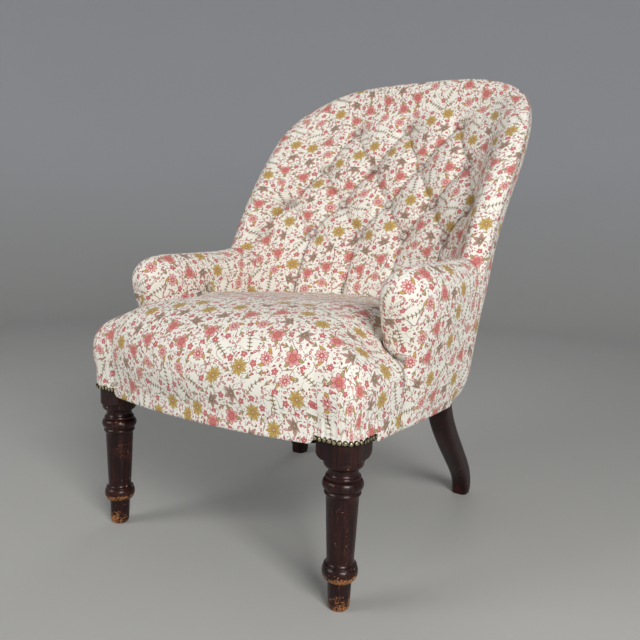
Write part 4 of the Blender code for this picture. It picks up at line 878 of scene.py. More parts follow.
POLISH_DARK = tone(24, 10, 10)
POLISH_RED = tone(46, 19, 17)
POLISH_THIN = tone(68, 31, 24)
BARE_DARK = tone(96, 50, 26)
BARE_PALE = tone(204, 140, 86)
SCRATCHED = tone(200, 146, 114)
WORN_FOOT_Z = 0.040          # the polish is worn below this height
WORN_RING_Z = 0.0470         # and on the ring at this one


def polished_wood(name, worn, gloss):
    """Dark red-brown polish: streaks, scratches, and bare wood at the foot and ring where it is worn."""
    finish = Finish(name, Coat_Roughness=0.10, Specular_IOR_Level=0.2)
    place = finish.object_place()
    grain = finish.noise(finish.stretch(place, (1.0, 1.0, 0.05)), 240.0, 4.0, 0.6)
    cloud = finish.noise(place, 28.0, 3.0)
    colour = finish.mix(finish.ease(0.38, 0.66, grain), POLISH_DARK, POLISH_RED)
    colour = finish.mix(finish.ease(0.50, 0.75, cloud) * 0.6, colour, POLISH_THIN)
    _, _, height = finish.split(place)
    patch = finish.noise(finish.stretch(place, (1.0, 1.0, 0.6)), 62.0, 2.0)
    speck = finish.noise(place, 420.0, 5.0, 0.72)
    foot = finish.ease(WORN_FOOT_Z, 0.0, height)
    ring = finish.ease(0.0075, 0.0025, abs(height - WORN_RING_Z))
    bare = finish.ease(0.675, 0.725, speck * 0.66 + patch * 0.42 + (foot * 0.17 + ring * 0.17) * worn)
    rubbed = finish.ease(0.50, 0.66, finish.noise(place, 22.0, 1.0))
    line = abs(finish.noise(finish.stretch(place, (1.0, 1.0, 0.8)), 95.0, 1.0) - 0.5)
    broken = finish.ease(0.52, 0.60, finish.noise(place, 210.0, 1.0))
    scratch = finish.ease(0.010, 0.004, line) * broken * rubbed * worn
    colour = finish.mix(bare, colour, finish.mix(speck, BARE_DARK, BARE_PALE))
    colour = finish.mix(scratch * 0.8, colour, SCRATCHED)
    finish.set("Base Color", colour)
    finish.set("Coat Weight", gloss - bare * (0.9 * gloss))
    finish.set("Roughness", 0.30 + grain * 0.14 + bare * 0.3)
    finish.bump(grain * 0.0002 - bare * 0.0003 - scratch * 0.0002 + cloud * 0.0005, 1.0, 0.8)
    return finish.material


def aged_brass():
    """Dome nails: pale gold, darker towards the rim of each head and blotched with age."""
    finish = Finish("antique_brass", Metallic=1.0)
    place = finish.object_place()
    out, _, _ = finish.split(finish.node("ShaderNodeUVMap", {"uv_map": CLOTH_MAP}))
    age = finish.noise(place, 420.0, 3.0, 0.6)
    dull = finish.ease(0.45, 0.85, out + (age - 0.5) * 0.5)
    gold = finish.mix(age, tone(228, 220, 182), tone(164, 148, 104))
    finish.set("Base Color", finish.mix(dull, gold, tone(30, 22, 16)))
    finish.set("Roughness", 0.26 + dull * 0.3 + age * 0.1)
    finish.bump(age, 0.0003, 0.5)
    return finish.material


def woven(name, dark, pale, pitch, depth):
    """Plain open weave of coarse yarn, for hessian, webbing and dust cloth."""
    finish = Finish(name, Roughness=0.9)
    place = finish.object_place()
    x, y, _ = finish.split(place)
    turns = 2 * math.pi / pitch
    yarn = (x * turns).math("SINE") * (y * turns).math("SINE") * 0.5 + 0.5
    fibre = finish.noise(place, 0.5 / pitch, 3.0, 0.6)
    finish.set("Base Color", finish.mix(yarn * 0.6 + fibre * 0.4, dark, pale))
    finish.bump(yarn + fibre * 0.5, depth)
    return finish.material


def frame_beech():
    """Plain beech with grain and short dark flecks."""
    finish = Finish("frame_beech", Roughness=0.6)
    place = finish.object_place()
    grain = finish.noise(finish.stretch(place, (1.0, 1.0, 0.12)), 120.0, 4.0, 0.6)
    flecks = finish.ease(0.60, 0.70, finish.noise(finish.stretch(place, (1.0, 1.0, 0.4)), 420.0, 2.0))
    colour = finish.mix(grain, tone(196, 160, 118), tone(160, 120, 82))
    finish.set("Base Color", finish.mix(flecks * 0.4, colour, tone(128, 90, 60)))
    finish.bump(grain, 0.0006)
    return finish.material


def loose_stuffing():
    """Teased fibre."""
    finish = Finish("stuffing", Roughness=0.95)
    place = finish.object_place()
    fibre = finish.noise(finish.stretch(place, (1.0, 3.0, 1.0)), 130.0, 5.0, 0.7)
    finish.set("Base Color", finish.mix(fibre, tone(126, 100, 72), tone(206, 190, 160)))
    finish.bump(fibre, 0.004)
    return finish.material


def spring_wire():
    """Bare steel wire with spots of rust."""
    finish = Finish("spring_wire", Metallic=1.0)
    place = finish.object_place()
    rust = finish.ease(0.52, 0.66, finish.noise(place, 60.0, 4.0, 0.65))
    finish.set("Base Color", finish.mix(rust, tone(150, 148, 144), tone(112, 66, 42)))
    finish.set("Roughness", 0.34 + rust * 0.4)
    finish.bump(finish.noise(place, 400.0), 0.0003)
    return finish.material


COTTON = printed_cotton()
LEG_POLISH = polished_wood("show_wood", 1.0, 0.24)
REAR_POLISH = polished_wood("rear_show_wood", 0.1, 0.08)
BRASS = aged_brass()
DUST_CLOTH = woven("dust_cloth", tone(22, 21, 20), tone(46, 43, 40), 0.0016, 0.0004)


# Soft pieces

def rim_of(faces):
    """Boundary of a patch of faces: its vertex numbers in order."""
    edges = {(a, b) for face in faces for a, b in zip(face, face[1:] + face[:1])}
    after = {a: b for a, b in edges if (b, a) not in edges}
    loop = [min(after)]
    while after[loop[-1]] != loop[0]:
        loop.append(after[loop[-1]])
    return loop


def lay_flat(obj, rear, front):
    """Cloth map of a piece flattened with little stretch, in metres, from its rear to its front."""
    mesh = obj.data
    if CLOTH_MAP not in mesh.uv_layers:
        mesh.uv_layers.new(name=CLOTH_MAP)
    bpy.context.view_layer.objects.active = obj
    bpy.ops.object.select_all(action="DESELECT")
    obj.select_set(True)
    bpy.ops.object.mode_set(mode="EDIT")
    bpy.ops.mesh.select_all(action="SELECT")
    bpy.ops.uv.unwrap(method="MINIMUM_STRETCH", fill_holes=False, iterations=12, margin=0.0)
    bpy.ops.object.mode_set(mode="OBJECT")
    corners = np.empty(len(mesh.loops), int)
    mesh.loops.foreach_get("vertex_index", corners)
    flat = np.empty(2 * len(mesh.loops), np.float32)
    mesh.uv_layers[CLOTH_MAP].uv.foreach_get("vector", flat)
    flat = flat.reshape(-1, 2).astype(float)
    mesh.calc_loop_triangles()
    ways = np.array([triangle.loops[:] for triangle in mesh.loop_triangles])
    a, b, c = flat[ways[:, 0]], flat[ways[:, 1]], flat[ways[:, 2]]
    turn = (b - a)[:, 0] * (c - a)[:, 1] - (b - a)[:, 1] * (c - a)[:, 0]
    size = math.sqrt(sum(face.area for face in mesh.polygons) / (np.abs(turn).sum() / 2))
    if turn.sum() < 0:
        flat[:, 0] *= -1
    first = {vertex: corner for corner, vertex in enumerate(corners)}
    run = flat[first[front]] - flat[first[rear]]
    angle = -math.pi / 2 - math.atan2(run[1], run[0])
    spin = np.array([[math.cos(angle), -math.sin(angle)], [math.sin(angle), math.cos(angle)]])
    flat = ((flat - flat[first[rear]]) * size) @ spin.T
    mesh.uv_layers[CLOTH_MAP].uv.foreach_set("vector", flat.astype(np.float32).ravel())


def seat_plan():
    """(x, y) of the seat's top: rows from the front, and behind the arm fronts only between the arms."""
    tuck = ARM_INNER_X - SEAT_ARM_GAP
    corner = SEAT_HALF - SEAT_RADIUS
    beside = tuck + (corner - tuck) * np.linspace(0, 1, 13) ** 1.6
    round_corner = corner + SEAT_RADIUS * np.sin(np.radians(np.linspace(0, 90, 25)))
    right = np.concatenate([np.linspace(0, tuck, 76)[:-1], beside[:-1], round_corner])
    columns = np.concatenate([-right[:0:-1], right])
    front_rows = 1 - np.cos(np.radians(90) * np.linspace(0, 1, 64))
    rear_rows = np.linspace(0, 1, 81)[1:]
    wide = np.abs(columns)
    at_nose = nose_y(np.minimum(wide + SEAT_ARM_GAP / 2, ARM_MID_X), SEAT_NOSE_Z) - SEAT_ARM_GAP
    at_nose += SEAT_UNDER_ARM * smoothstep(ARM_MID_X - 0.004, ARM_MID_X + 0.008, wide)
    between = blend(SEAT_SPLIT_Y, ARM_NOSE_Y - SEAT_ARM_GAP, smoothstep(0.12, tuck, wide))
    split = np.where(wide >= tuck, at_nose, between)
    inside = np.minimum(wide, tuck)
    rear_y = smooth_pad(inside, np.full(inside.shape, BACK_PAD_BOTTOM)) - SEAT_BACK_GAP
    front = blend(seat_front(columns)[0], split, front_rows[:, None])
    rear = blend(split, rear_y, rear_rows[:, None])
    y = np.concatenate([front, rear])
    x = np.broadcast_to(columns, y.shape)
    narrow = np.maximum(wide[:-1], wide[1:]) <= tuck + 1e-9
    faces = grid_faces(len(y), len(columns), lambda i, j: (i < len(front_rows) - 1) | narrow[j])
    return x, y, faces


def seat_foot(x, y):
    """Place on the frame under the seat's edge, the lower end there, and how far the hem turns in."""
    wide, side = abs(x), math.copysign(1.0, x)
    inner = LEG_X - BLOCK_HALF
    front_y, swell = (float(v) for v in seat_front(wide))
    corner_x, corner_y = SEAT_HALF - SEAT_RADIUS, float(seat_front(SEAT_HALF)[0])
    beside_leg, behind_leg = (inner - 0.006, inner + 0.002), (0.025, 0.033)
    at_block = smoothstep(*beside_leg, wide) * (1 - smoothstep(*behind_leg, y))
    foot = blend(COVER_BOTTOM, COVER_LEG_EDGE, at_block)
    hem = blend(HEM, COVER_OUT - HEM_CLEAR, at_block)
    if abs(y - front_y) < 1e-6 and wide > corner_x:
        share = SEAT_CORNER / SEAT_RADIUS
        return side * blend(corner_x, wide, share), blend(corner_y, y, share), foot, hem
    if abs(y - front_y) < 1e-6:
        return x, y + swell, foot, hem
    if wide > SEAT_HALF - 1e-6:
        return x - side * SEAT_BULGE, y, foot, hem
    if wide > FRAME_X + COVER_OUT:
        return side * (FRAME_X + COVER_OUT), y, COVER_BOTTOM, 0.0
    if wide > corner_x:
        return x, y, RAIL_TOP + COVER_ON_RAIL, 0.0
    beside_upright = wide > inner - 1e-6 and y > UPRIGHT_FRONT_Y
    return x, y, SEAT_CORNER_FOOT if beside_upright else ARM_INNER_SKIRT_Z, 0.0


def seat_piece():
    """Seat cover: one cloth over the crown and down the rails, gathered over the front legs."""
    x, y, faces = seat_plan()
    z = seat_top(x, y)
    cloth = cloth_lengths(seat_top, x, y, 0.0, SEAT_SPLIT_Y).reshape(-1, 2)
    points = np.stack([x, y, z], -1).reshape(-1, 3)
    faces = faces.tolist()
    loop = rim_of(faces)
    rim = points[loop]
    low_x, low_y, foot, hem = np.array([seat_foot(px, py) for px, py, _ in rim]).T
    edge = np.maximum(rim[:, 2], foot + SEAT_EDGE_MIN)
    points[loop, 2] = edge
    ahead = np.roll(rim, -1, 0) - np.roll(rim, 1, 0)
    run = np.maximum(1e-9, np.hypot(ahead[:, 0], ahead[:, 1]))
    out_x, out_y = ahead[:, 1] / run, -ahead[:, 0] / run
    way = np.cumsum(np.hypot(*(np.roll(rim, -1, 0) - rim)[:, :2].T))
    beside_leg = smoothstep(*GATHER_X, np.abs(rim[:, 0])) * (1 - smoothstep(*GATHER_Y, rim[:, 1]))
    pleats = np.cos(2 * math.pi * way / GATHER_PITCH + 2.6 * np.sin(way * 61)) * beside_leg
    # painted shade along the fold where the seat meets an arm's front, carried down the seat's side
    at_arm = nose_y(np.clip(np.abs(x), ARM_INNER_X, ARM_MID_X), SEAT_NOSE_Z) - SEAT_ARM_GAP - y
    crease_shade = CREASE_SHADE * np.exp(-(at_arm / CREASE_SEAT_WIDTH) ** 2)
    crease_shade = crease_shade * (np.abs(x) > ARM_INNER_X - 0.002)
    folds = [crease_shade.ravel()]
    rows = [np.array(loop)]
    grown, maps = [points], [cloth]
    drop = np.zeros(len(loop))
    count = len(points)
    down_side, under_hem = np.linspace(0, 1, 19)[1:], [1.08, 1.2, 2.0]
    for level in np.concatenate([down_side, under_hem]):
        down = min(level, 1.0)
        swell = 1 - smoothstep(0.0, SEAT_SIDE_TUCK, down)
        ripple = GATHER_DEPTH * pleats * smoothstep(0.2, 0.95, down)
        turned_in = hem * max(0.0, level - 1.0)
        row_x = blend(low_x, rim[:, 0], swell) + out_x * (ripple - turned_in)
        row_y = blend(low_y, rim[:, 1], swell) + out_y * (ripple - turned_in)
        row_z = blend(edge, foot, down) + (HEM_RISE if level > 1.1 else -HEM_DROP if level > 1 else 0.0)
        row = np.stack([row_x, row_y, row_z], -1)
        drop += np.linalg.norm(row - (grown[-1] if len(grown) > 1 else points[loop]), axis=1)
        grown.append(row)
        maps.append(cloth[loop] + np.stack([out_x, out_y], -1) * drop[:, None])
        folds.append(folds[0][loop] * smoothstep(*CREASE_END_Z, row_z))
        rows.append(np.arange(count, count + len(loop)))
        count += len(loop)
    for upper, under in zip(rows, rows[1:]):
        faces += np.stack([upper, under, np.roll(under, -1), np.roll(upper, -1)], -1).tolist()
    obj = add_mesh("seat_upholstery", np.concatenate(grown), faces, COTTON, np.concatenate(maps))
    paint_shade(obj, np.concatenate(folds))
    return stand_for(obj, "printed_cotton", "seat_cover")


def pad_half(z):
    """Half width of the inside back."""
    roll_z = ARM_TOP_Z - ARM_ROLL
    drawn_in = PAD_DRAWN_IN * (1 - smoothstep(roll_z - 0.03, roll_z, z))
    return side_x(np.minimum(z, BACK_WAIST_Z)) - drawn_in


def turn_back(points, cloth, depths, inward):
    """Rows added round a back's sides and arch: each set back by a depth and drawn in by a share."""
    rows, columns = points.shape[:2]
    number = np.arange(rows * columns).reshape(rows, columns)
    loop = np.concatenate([number[:0:-1, 0], number[0, :], number[1:, -1]])
    flat, maps = points.reshape(-1, 3), cloth.reshape(-1, 2)
    middle_point = np.array([0.0, 0.0, BACK_WAIST_Z])
    faces = []
    grown, grown_maps = [flat], [maps]
    last, count = loop, len(flat)
    centre = maps[loop].mean(0)
    for depth, inset in zip(depths, inward):
        row = flat[loop].copy()
        towards = row - middle_point
        towards[:, 1] = 0.0
        towards[:, 2] = np.maximum(0.0, towards[:, 2])
        towards /= np.maximum(1e-9, np.linalg.norm(towards, axis=1))[:, None]
        row -= towards * inset
        row[:, 1] += depth
        out = maps[loop] - centre
        out /= np.linalg.norm(out, axis=1)[:, None]
        grown.append(row)
        grown_maps.append(maps[loop] + out * depth)
        new = np.arange(count, count + len(loop))
        faces.append(np.stack([last[:-1], last[1:], new[1:], new[:-1]], -1))
        last, count = new, count + len(loop)
    return np.concatenate(grown), np.concatenate(grown_maps), np.concatenate(faces)


def paint_shade(obj, shade):
    """Mark of painted shade on a piece's cloth, 0 to 1, for how deep in a pleat or fold it lies."""
    mark = obj.data.attributes.new(PAINTED_SHADE_MARK, "FLOAT", "POINT")
    mark.data.foreach_set("value", shade.astype(np.float32))


def pleat_shade(x, z):
    """Painted shade on the cloth down in the pleats and round the buttons."""
    def shade(kind, distance):
        darkness, width = kind
        return darkness * np.exp(-(distance / width) ** 2)

    open_field = smoothstep(RIM_RADIUS, RIM_BLEND, rim_place(x, z)[0])
    to_button = np.min([np.hypot(x - bx, z - bz) for bx, bz in BUTTONS], axis=0)
    folded_over = [((ax, az), (bx, bz)) for (ax, az), (bx, bz) in PLEATS if (bx - ax) * (bz - az) >= 0]
    line = shade(PLEAT_SHADE, pleat_distance(x, z, folded_over))
    other_line = shade(FAINT_SHADE, pleat_distance(x, z))
    pit = shade(PIT_SHADE, np.maximum(0.0, to_button - 0.6 * BUTTON_RADIUS))
    return np.maximum(np.maximum(line, other_line), pit) * open_field


def inside_back_piece():
    """Buttoned inside back: pillows between diamond pleats, running out into a smooth roll."""
    x, z = back_places(281, 261, BACK_PAD_BOTTOM)
    x = x * pad_half(z) / side_x(np.minimum(z, BACK_WAIST_Z))
    points = np.stack([x, pad_front(x, z), z], -1)
    cloth = cloth_lengths(smooth_pad, x, z, *PRINT_MARK)
    inner = grid_faces(*x.shape)
    depths, inward = (0.0020, 0.0045, 0.0066, 0.0078), (0.0, 0.0, 0.0002, 0.0010)
    grown, maps, band = turn_back(points, cloth, depths, inward)
    obj = add_mesh("inside_back_upholstery", grown, np.concatenate([inner, band]), COTTON, maps)
    # painted shade in the pleats and round the buttons
    paint_shade(obj, np.concatenate([pleat_shade(x, z).ravel(), np.zeros(len(grown) - x.size)]))
    return stand_for(obj, "printed_cotton", "inside_back")


def outside_back_piece():
    """Tight panel behind the back, from the arch down to the lower edge of the rail and turned under."""
    def surface(px, pz):
        return back_outer(px, pz) + PANEL_OUT

    x, z = back_places(141, 131, COVER_BOTTOM)
    inset = rim_place(x, z)[0]
    full = within(FULL_Z, z) * within(FULL_INSET, inset)
    points = np.stack([x * (1 + OUTSIDE_FULLNESS * full), surface(x, z), z], -1)
    tuck = corner_tuck(z) * (1 - smoothstep(*REAR_CORNER_REACH, inset))
    points[..., 0] -= np.sign(x) * REAR_CORNER_WAY[0] * tuck
    points[..., 1] -= REAR_CORNER_WAY[1] * tuck
    cloth = cloth_lengths(surface, x, z, *PRINT_MARK) + OUTSIDE_PATCH
    inner = grid_faces(*x.shape)[:, ::-1]
    low = points[-1]
    lows = np.arange(len(points) * x.shape[1] - x.shape[1], x.size)
    grown, maps, faces = [points.reshape(-1, 3)], [cloth.reshape(-1, 2)], [inner]
    last, count = lows, x.size
    for step, rise in ((HEM_FOLD, -HEM_DROP), (HEM, BACK_HEM_RISE)):
        row = low - (0.0, step, -rise)
        row[:, 0] *= 1 - step / BACK_HALF
        grown.append(row)
        maps.append(cloth[-1] - (0.0, step))
        new = np.arange(count, count + len(row))
        faces.append(np.stack([last[1:], last[:-1], new[:-1], new[1:]], -1)[:, ::-1])
        last, count = new, count + len(row)
    obj = add_mesh("outside_back_panel", np.concatenate(grown), np.concatenate(faces), COTTON,
                   np.concatenate(maps))
    return stand_for(obj, "printed_cotton", "outside_back")


def corner_tuck(z):
    """How far the cloth is drawn in as it turns under a lower rear corner."""
    rise = np.clip((z - COVER_BOTTOM) / REAR_CORNER[1], 0.0, 1.0)
    return REAR_CORNER[0] * (1 - np.sqrt(1 - (1 - rise) ** 2))


def seat_side_x(z):
    """Outer face of the seat's side, where the arm's outer cloth takes over."""
    level = np.clip((SEAT_BULGE_Z - z) / (SEAT_BULGE_Z - COVER_BOTTOM), 0.0, 1.0)
    return SEAT_HALF - SEAT_BULGE * smoothstep(0.0, SEAT_SIDE_TUCK, level)


def arm_panel_x(y, z):
    """Outer side of the chair below an arm, fair with the seat's side in front of it."""
    fair = smoothstep(ARM_FRONT_Y, ARM_FRONT_Y + ARM_FAIR_RUN, y)
    return blend(seat_side_x(z) + 0.0008, arm_outer_x(y, z), fair)


def settled(points, side, forward):
    """Points of an arm's padding, moved where it has settled."""
    if side > 0:
        return points
    share = smoothstep(*ARM_SETTLED_Z, points[..., 2]) * forward
    return points + share[..., None] * np.array(ARM_SETTLED)


def arm_piece(word, side):
    """Arm cover: over the inner side, the roll and the nose, then down the outer side to the rail."""
    round_nose = np.radians(np.linspace(0, 90, 34)[1:-1])
    nose_places = 1 + np.arctan(np.tan(round_nose) ** (ARM_NOSE_POWER / 2)) / math.radians(90)
    places = np.concatenate([np.linspace(0, 1, 46), nose_places, [2.0]])
    wall = ARM_WALL_SHARE / 2
    arcs = np.concatenate([np.linspace(0, wall, 27)[:-1], np.linspace(wall, 1 - wall, 47)[:-1],
                           np.linspace(1 - wall, 1, 29)])
    place, arc = np.meshgrid(places, arcs, indexing="ij")
    points = arm_points(place, arc)
    fold_y, fold_z = ARM_BUTTON
    inner_wall = np.maximum(0.0, 1 - np.abs(points[..., 0] - ARM_INNER_X) / 0.02)
    from_button = np.hypot(points[..., 1] - fold_y, points[..., 2] - fold_z)
    past_button = np.maximum(0.0, from_button - ARM_BUTTON_FLAT)
    points[..., 0] += inner_wall * ARM_BUTTON_PIT * np.exp(-(past_button / ARM_BUTTON_REACH) ** 1.4)
    off_fold = np.abs(points[..., 2] - fold_z - ARM_FOLD_SLOPE * (points[..., 1] - fold_y))
    fold = np.exp(-(off_fold / ARM_FOLD_WIDTH) ** 2 - (from_button / ARM_FOLD_REACH) ** 2)
    points[..., 0] += inner_wall * ARM_FOLD_DEPTH * fold
    edge = points[:, -1]
    rows = [points]
    for t in np.concatenate([np.linspace(0, 1, 25)[1:], [1.0, 1.0]]):
        z = blend(edge[:, 2], COVER_BOTTOM, t)
        rear_share = np.clip(1 - places, 0.0, 1.0)
        y = edge[:, 1] + rear_share * (line_at(RIM_LINE, z) - line_at(RIM_LINE, edge[:, 2]))
        y += SEAM_LAP * smoothstep(0.86, 1.0, rear_share) * smoothstep(0.0, 0.4, t)
        x = blend(edge[:, 0], arm_panel_x(y, z), smoothstep(0.0, 0.34, t))
        tuck = corner_tuck(z) * smoothstep(0.7, 1.0, rear_share)
        x, y = x - REAR_CORNER_WAY[0] * tuck, y - REAR_CORNER_WAY[1] * tuck
        rows.append(np.stack([x, y, z], -1)[:, None])
    rows[-2][..., 0] -= HEM_FOLD
    rows[-2][..., 2] -= HEM_DROP
    rows[-1][..., 0] -= HEM
    rows[-1][..., 2] += HEM_RISE
    forward = smoothstep(0.0, 0.4, places)[:, None]
    points = settled(np.concatenate(rows, 1) * (side, 1, 1), side, forward)
    faces = grid_faces(*points.shape[:2])
    obj = add_mesh("arm_upholstery_" + word, points, faces, COTTON, flip=side < 0)
    # painted shade along the fold where the arm's front meets the seat
    crease_shade = CREASE_SHADE * np.exp(-((points[..., 1] - ARM_FRONT_Y) / CREASE_ARM_WIDTH) ** 2)
    paint_shade(obj, (crease_shade * within((CREASE_END_Z, CREASE_TOP_Z), points[..., 2])).ravel())
    top = len(arcs) // 2
    marks = [points[k, top] + (0.0, LEG_Y, 0.0) for k in (4, 40)]
    reshape(obj, lambda shape: bmesh.ops.remove_doubles(shape, verts=shape.verts, dist=1e-5))
    places_now = np.array([vertex.co[:] for vertex in obj.data.vertices])
    rear, front = (int(np.argmin(((places_now - mark) ** 2).sum(1))) for mark in marks)
    lay_flat(obj, rear, front)
    return stand_for(obj, "printed_cotton", "inside_arm_" + word, "outside_arm_" + word)


# Buttons and nails

def dome(profile, segments):
    """Points and faces of a turned shape about Z, from its crown outwards; the first radius is 0."""
    turn = np.linspace(0, 2 * math.pi, segments, endpoint=False)
    points = [(0.0, 0.0, profile[0][1])]
    for radius, height in profile[1:]:
        points += [(radius * math.cos(a), radius * math.sin(a), height) for a in turn]
    faces = []
    for k in range(segments):
        after = (k + 1) % segments
        faces.append([0, 1 + k, 1 + after])
        for ring in range(len(profile) - 2):
            low, high = 1 + ring * segments, 1 + (ring + 1) * segments
            faces.append([low + k, high + k, high + after, low + after])
    return np.array(points), faces


def set_on(points, place, facing):
    """Points of a dome moved to a place, its crown facing along a direction."""
    turn = np.array(Vector(facing).to_track_quat("Z", "Y").to_matrix())
    return points @ turn.T + np.array(place)


def button_piece(node, place, facing, patch):
    """Cloth-covered button pressed into the padding, with its own patch of the print."""
    round_edge = np.radians(np.linspace(0, 90, 9))
    full = 0.8
    profile = [(BUTTON_RADIUS * math.sin(a) ** full, BUTTON_HEIGHT * math.cos(a) ** full)
               for a in round_edge]
    profile += [(BUTTON_RADIUS * 0.97, -0.0008), (BUTTON_RADIUS * 0.86, -0.0014)]
    points, faces = dome(profile, 28)
    cloth = points[:, :2] * BUTTON_WRAP + patch
    obj = add_mesh(node + "_cover", set_on(points, place, facing), faces, COTTON, cloth)
    # painted shade over the button, a little at its crown and more towards its edge
    paint_shade(obj, 0.12 + 0.5 * (np.hypot(points[:, 0], points[:, 1]) / BUTTON_RADIUS) ** 2)
    return stand_for(obj, "printed_cotton", node)


def nail_path(side):
    """Places and outward directions of the dome nails round a front leg's block."""
    out = COVER_OUT + 0.0002
    centre = BLOCK_HALF - LEG_CORNER
    radius = LEG_CORNER + out
    straight = 2 * BLOCK_HALF - LEG_CORNER
    bend = radius * math.pi / 2
    total = 2 * straight + bend
    nails = round(total / NAIL_PITCH)
    for k in range(nails):
        way = total * (k + 0.5) / nails
        if way < straight:
            place, facing = (-BLOCK_HALF + way, -BLOCK_HALF - out), (0.0, -1.0)
        elif way < straight + bend:
            turn = (way - straight) / radius
            facing = (math.sin(turn), -math.cos(turn))
            place = (centre + radius * facing[0], radius * facing[1] - centre)
        else:
            place, facing = (BLOCK_HALF + out, way - straight - bend - centre), (1.0, 0.0)
        yield (side * (LEG_X + place[0]), place[1], NAIL_Z), (side * facing[0], facing[1], 0.0)


def nail_piece(word, side):
    """Row of dome nails, driven by hand and so a little uneven."""
    round_head = np.radians(np.linspace(0, 84, 7))
    profile = [(NAIL_RADIUS * math.sin(a), NAIL_HEIGHT * math.cos(a)) for a in round_head]
    profile += [(NAIL_RADIUS, 0.0002), (NAIL_RADIUS * 0.96, -0.0012)]
    head, head_faces = dome(profile, 20)
    from_crown = np.hypot(head[:, 0], head[:, 1]) / NAIL_RADIUS
    points, faces, maps = [], [], []
    for k, (place, facing) in enumerate(nail_path(side)):
        sway = (0.05 * math.sin(5.1 * k), 0.05 * math.cos(3.7 * k), 0.06 * math.sin(7.3 * k))
        shift = (0.0, 0.0, 0.0004 * math.sin(4.3 * k))
        faces += [[corner + len(points) * len(head) for corner in face] for face in head_faces]
        points.append(set_on(head, np.array(place) + shift, Vector(facing) + Vector(sway)))
        maps.append(np.stack([from_crown, np.full(len(head), k)], -1))
    obj = add_mesh("dome_nails_" + word, np.concatenate(points), faces, BRASS, np.concatenate(maps))
    return stand_for(obj, "antique_brass", "nail_row_" + word)


# Legs

# Radius and height along each turned member, from the block down to the foot
LEG_PROFILE = (
    ((0.0268, 0.2075), (0.0270, 0.2040), (0.0266, 0.2005), (0.0245, 0.1975), (0.0212, 0.1955)),
    ((0.0205, 0.1950), (0.0202, 0.1915), (0.0208, 0.1885), (0.0224, 0.1862)),
    ((0.0232, 0.1858), (0.0238, 0.1840), (0.0236, 0.1822)),
    ((0.0228, 0.1815), (0.0258, 0.1796), (0.0276, 0.1752), (0.0274, 0.1716), (0.0258, 0.1684),
     (0.0240, 0.1668)),
    ((0.0236, 0.1664), (0.0234, 0.1650)),
    ((0.0238, 0.1644), (0.0247, 0.1630), (0.0247, 0.1612), (0.0236, 0.1596), (0.0224, 0.1588)),
    ((0.0221, 0.1582), (0.0212, 0.1359), (0.0202, 0.1110), (0.0191, 0.0859), (0.0183, 0.0690)),
    ((0.0186, 0.0672), (0.0198, 0.0652), (0.0220, 0.0636)),
    ((0.0222, 0.0632), (0.0220, 0.0620)),
    ((0.0215, 0.0616), (0.0234, 0.0590), (0.0243, 0.0545), (0.0238, 0.0490), (0.0220, 0.0448),
     (0.0194, 0.0420)),
    ((0.0164, 0.0400), (0.0160, 0.0340), (0.0154, 0.0179), (0.0147, 0.0060), (0.0135, 0.0018),
     (0.0115, 0.0)),
)


def smooth_run(points, count):
    """Points along a smooth curve through given points."""
    points = np.array(points, float)
    lengths = np.concatenate([[0.0], np.cumsum(np.linalg.norm(np.diff(points, axis=0), axis=1))])
    ways = np.linspace(0, lengths[-1], count)
    return np.stack([line_at(np.stack([lengths, axis], -1), ways) for axis in points.T], -1)


def block_radius(turn, corner):
    """Distance from a leg's axis to the face of its block, with one well rounded corner."""
    low, high = np.zeros(turn.shape), np.full(turn.shape, 2 * BLOCK_HALF)
    for _ in range(40):
        mid = (low + high) / 2
        x, y = mid * np.cos(turn), mid * np.sin(turn)
        ease = np.where((x * corner > 0) & (y < 0), LEG_CORNER, BLOCK_EASE)
        qx, qy = np.abs(x) - BLOCK_HALF + ease, np.abs(y) - BLOCK_HALF + ease
        inside = np.minimum(np.maximum(qx, qy), 0)
        outside = np.hypot(np.maximum(qx, 0), np.maximum(qy, 0)) + inside - ease
        low, high = np.where(outside < 0, mid, low), np.where(outside < 0, high, mid)
    return low


def front_leg_piece(word, side):
    """Turned leg: square block run out to a cup, cove, rings and a long taper down to a peg foot."""
    turn = np.linspace(0, 2 * math.pi, 96, endpoint=False)
    square = block_radius(turn, side)
    chamfer = 0.0015
    rows = [(np.full(turn.shape, 0.004), RAIL_TOP), (square - chamfer, RAIL_TOP),
            (square, RAIL_TOP - chamfer)]
    rows += [(square, z) for z in np.linspace(RAIL_TOP - 0.01, LEG_TURNED_TOP + LEG_FLARE + 0.001, 8)]
    for share in np.linspace(1, 0, 19):
        flare = blend(*FLARE_RADIUS, math.sqrt(1 - (1 - share) ** 2))
        rows.append((np.minimum(square, flare), LEG_TURNED_TOP + LEG_FLARE * share))
    for segment in LEG_PROFILE:
        rows += [(np.full(turn.shape, r), z) for r, z in smooth_run(segment, 3 * len(segment))]
    rows.append((np.full(turn.shape, 0.002), 0.0))
    points = [np.stack([side * LEG_X + r * np.cos(turn), r * np.sin(turn), np.full(turn.shape, z)], -1)
              for r, z in rows]
    obj = tube("turned_front_leg_" + word, np.array(points), LEG_POLISH)
    return stand_for(obj, "show_wood", "front_leg_" + word)


def tube(name, rings, finish):
    """Closed rings joined into a tube, its two ends filled; faces meet sharply past 40 degrees."""
    count, around = rings.shape[:2]
    number = np.arange(count * around).reshape(count, around)
    after = np.roll(number, -1, 1)
    quads = np.stack([number[:-1], number[1:], after[1:], after[:-1]], -1).reshape(-1, 4).tolist()
    ends = [number[0].tolist(), number[-1][::-1].tolist()]
    obj = add_mesh(name, rings.reshape(-1, 3), quads + ends, finish)
    reshape(obj, lambda shape: bmesh.ops.recalc_face_normals(shape, faces=shape.faces))
    obj.data.set_sharp_from_angle(angle=math.radians(40))
    return obj


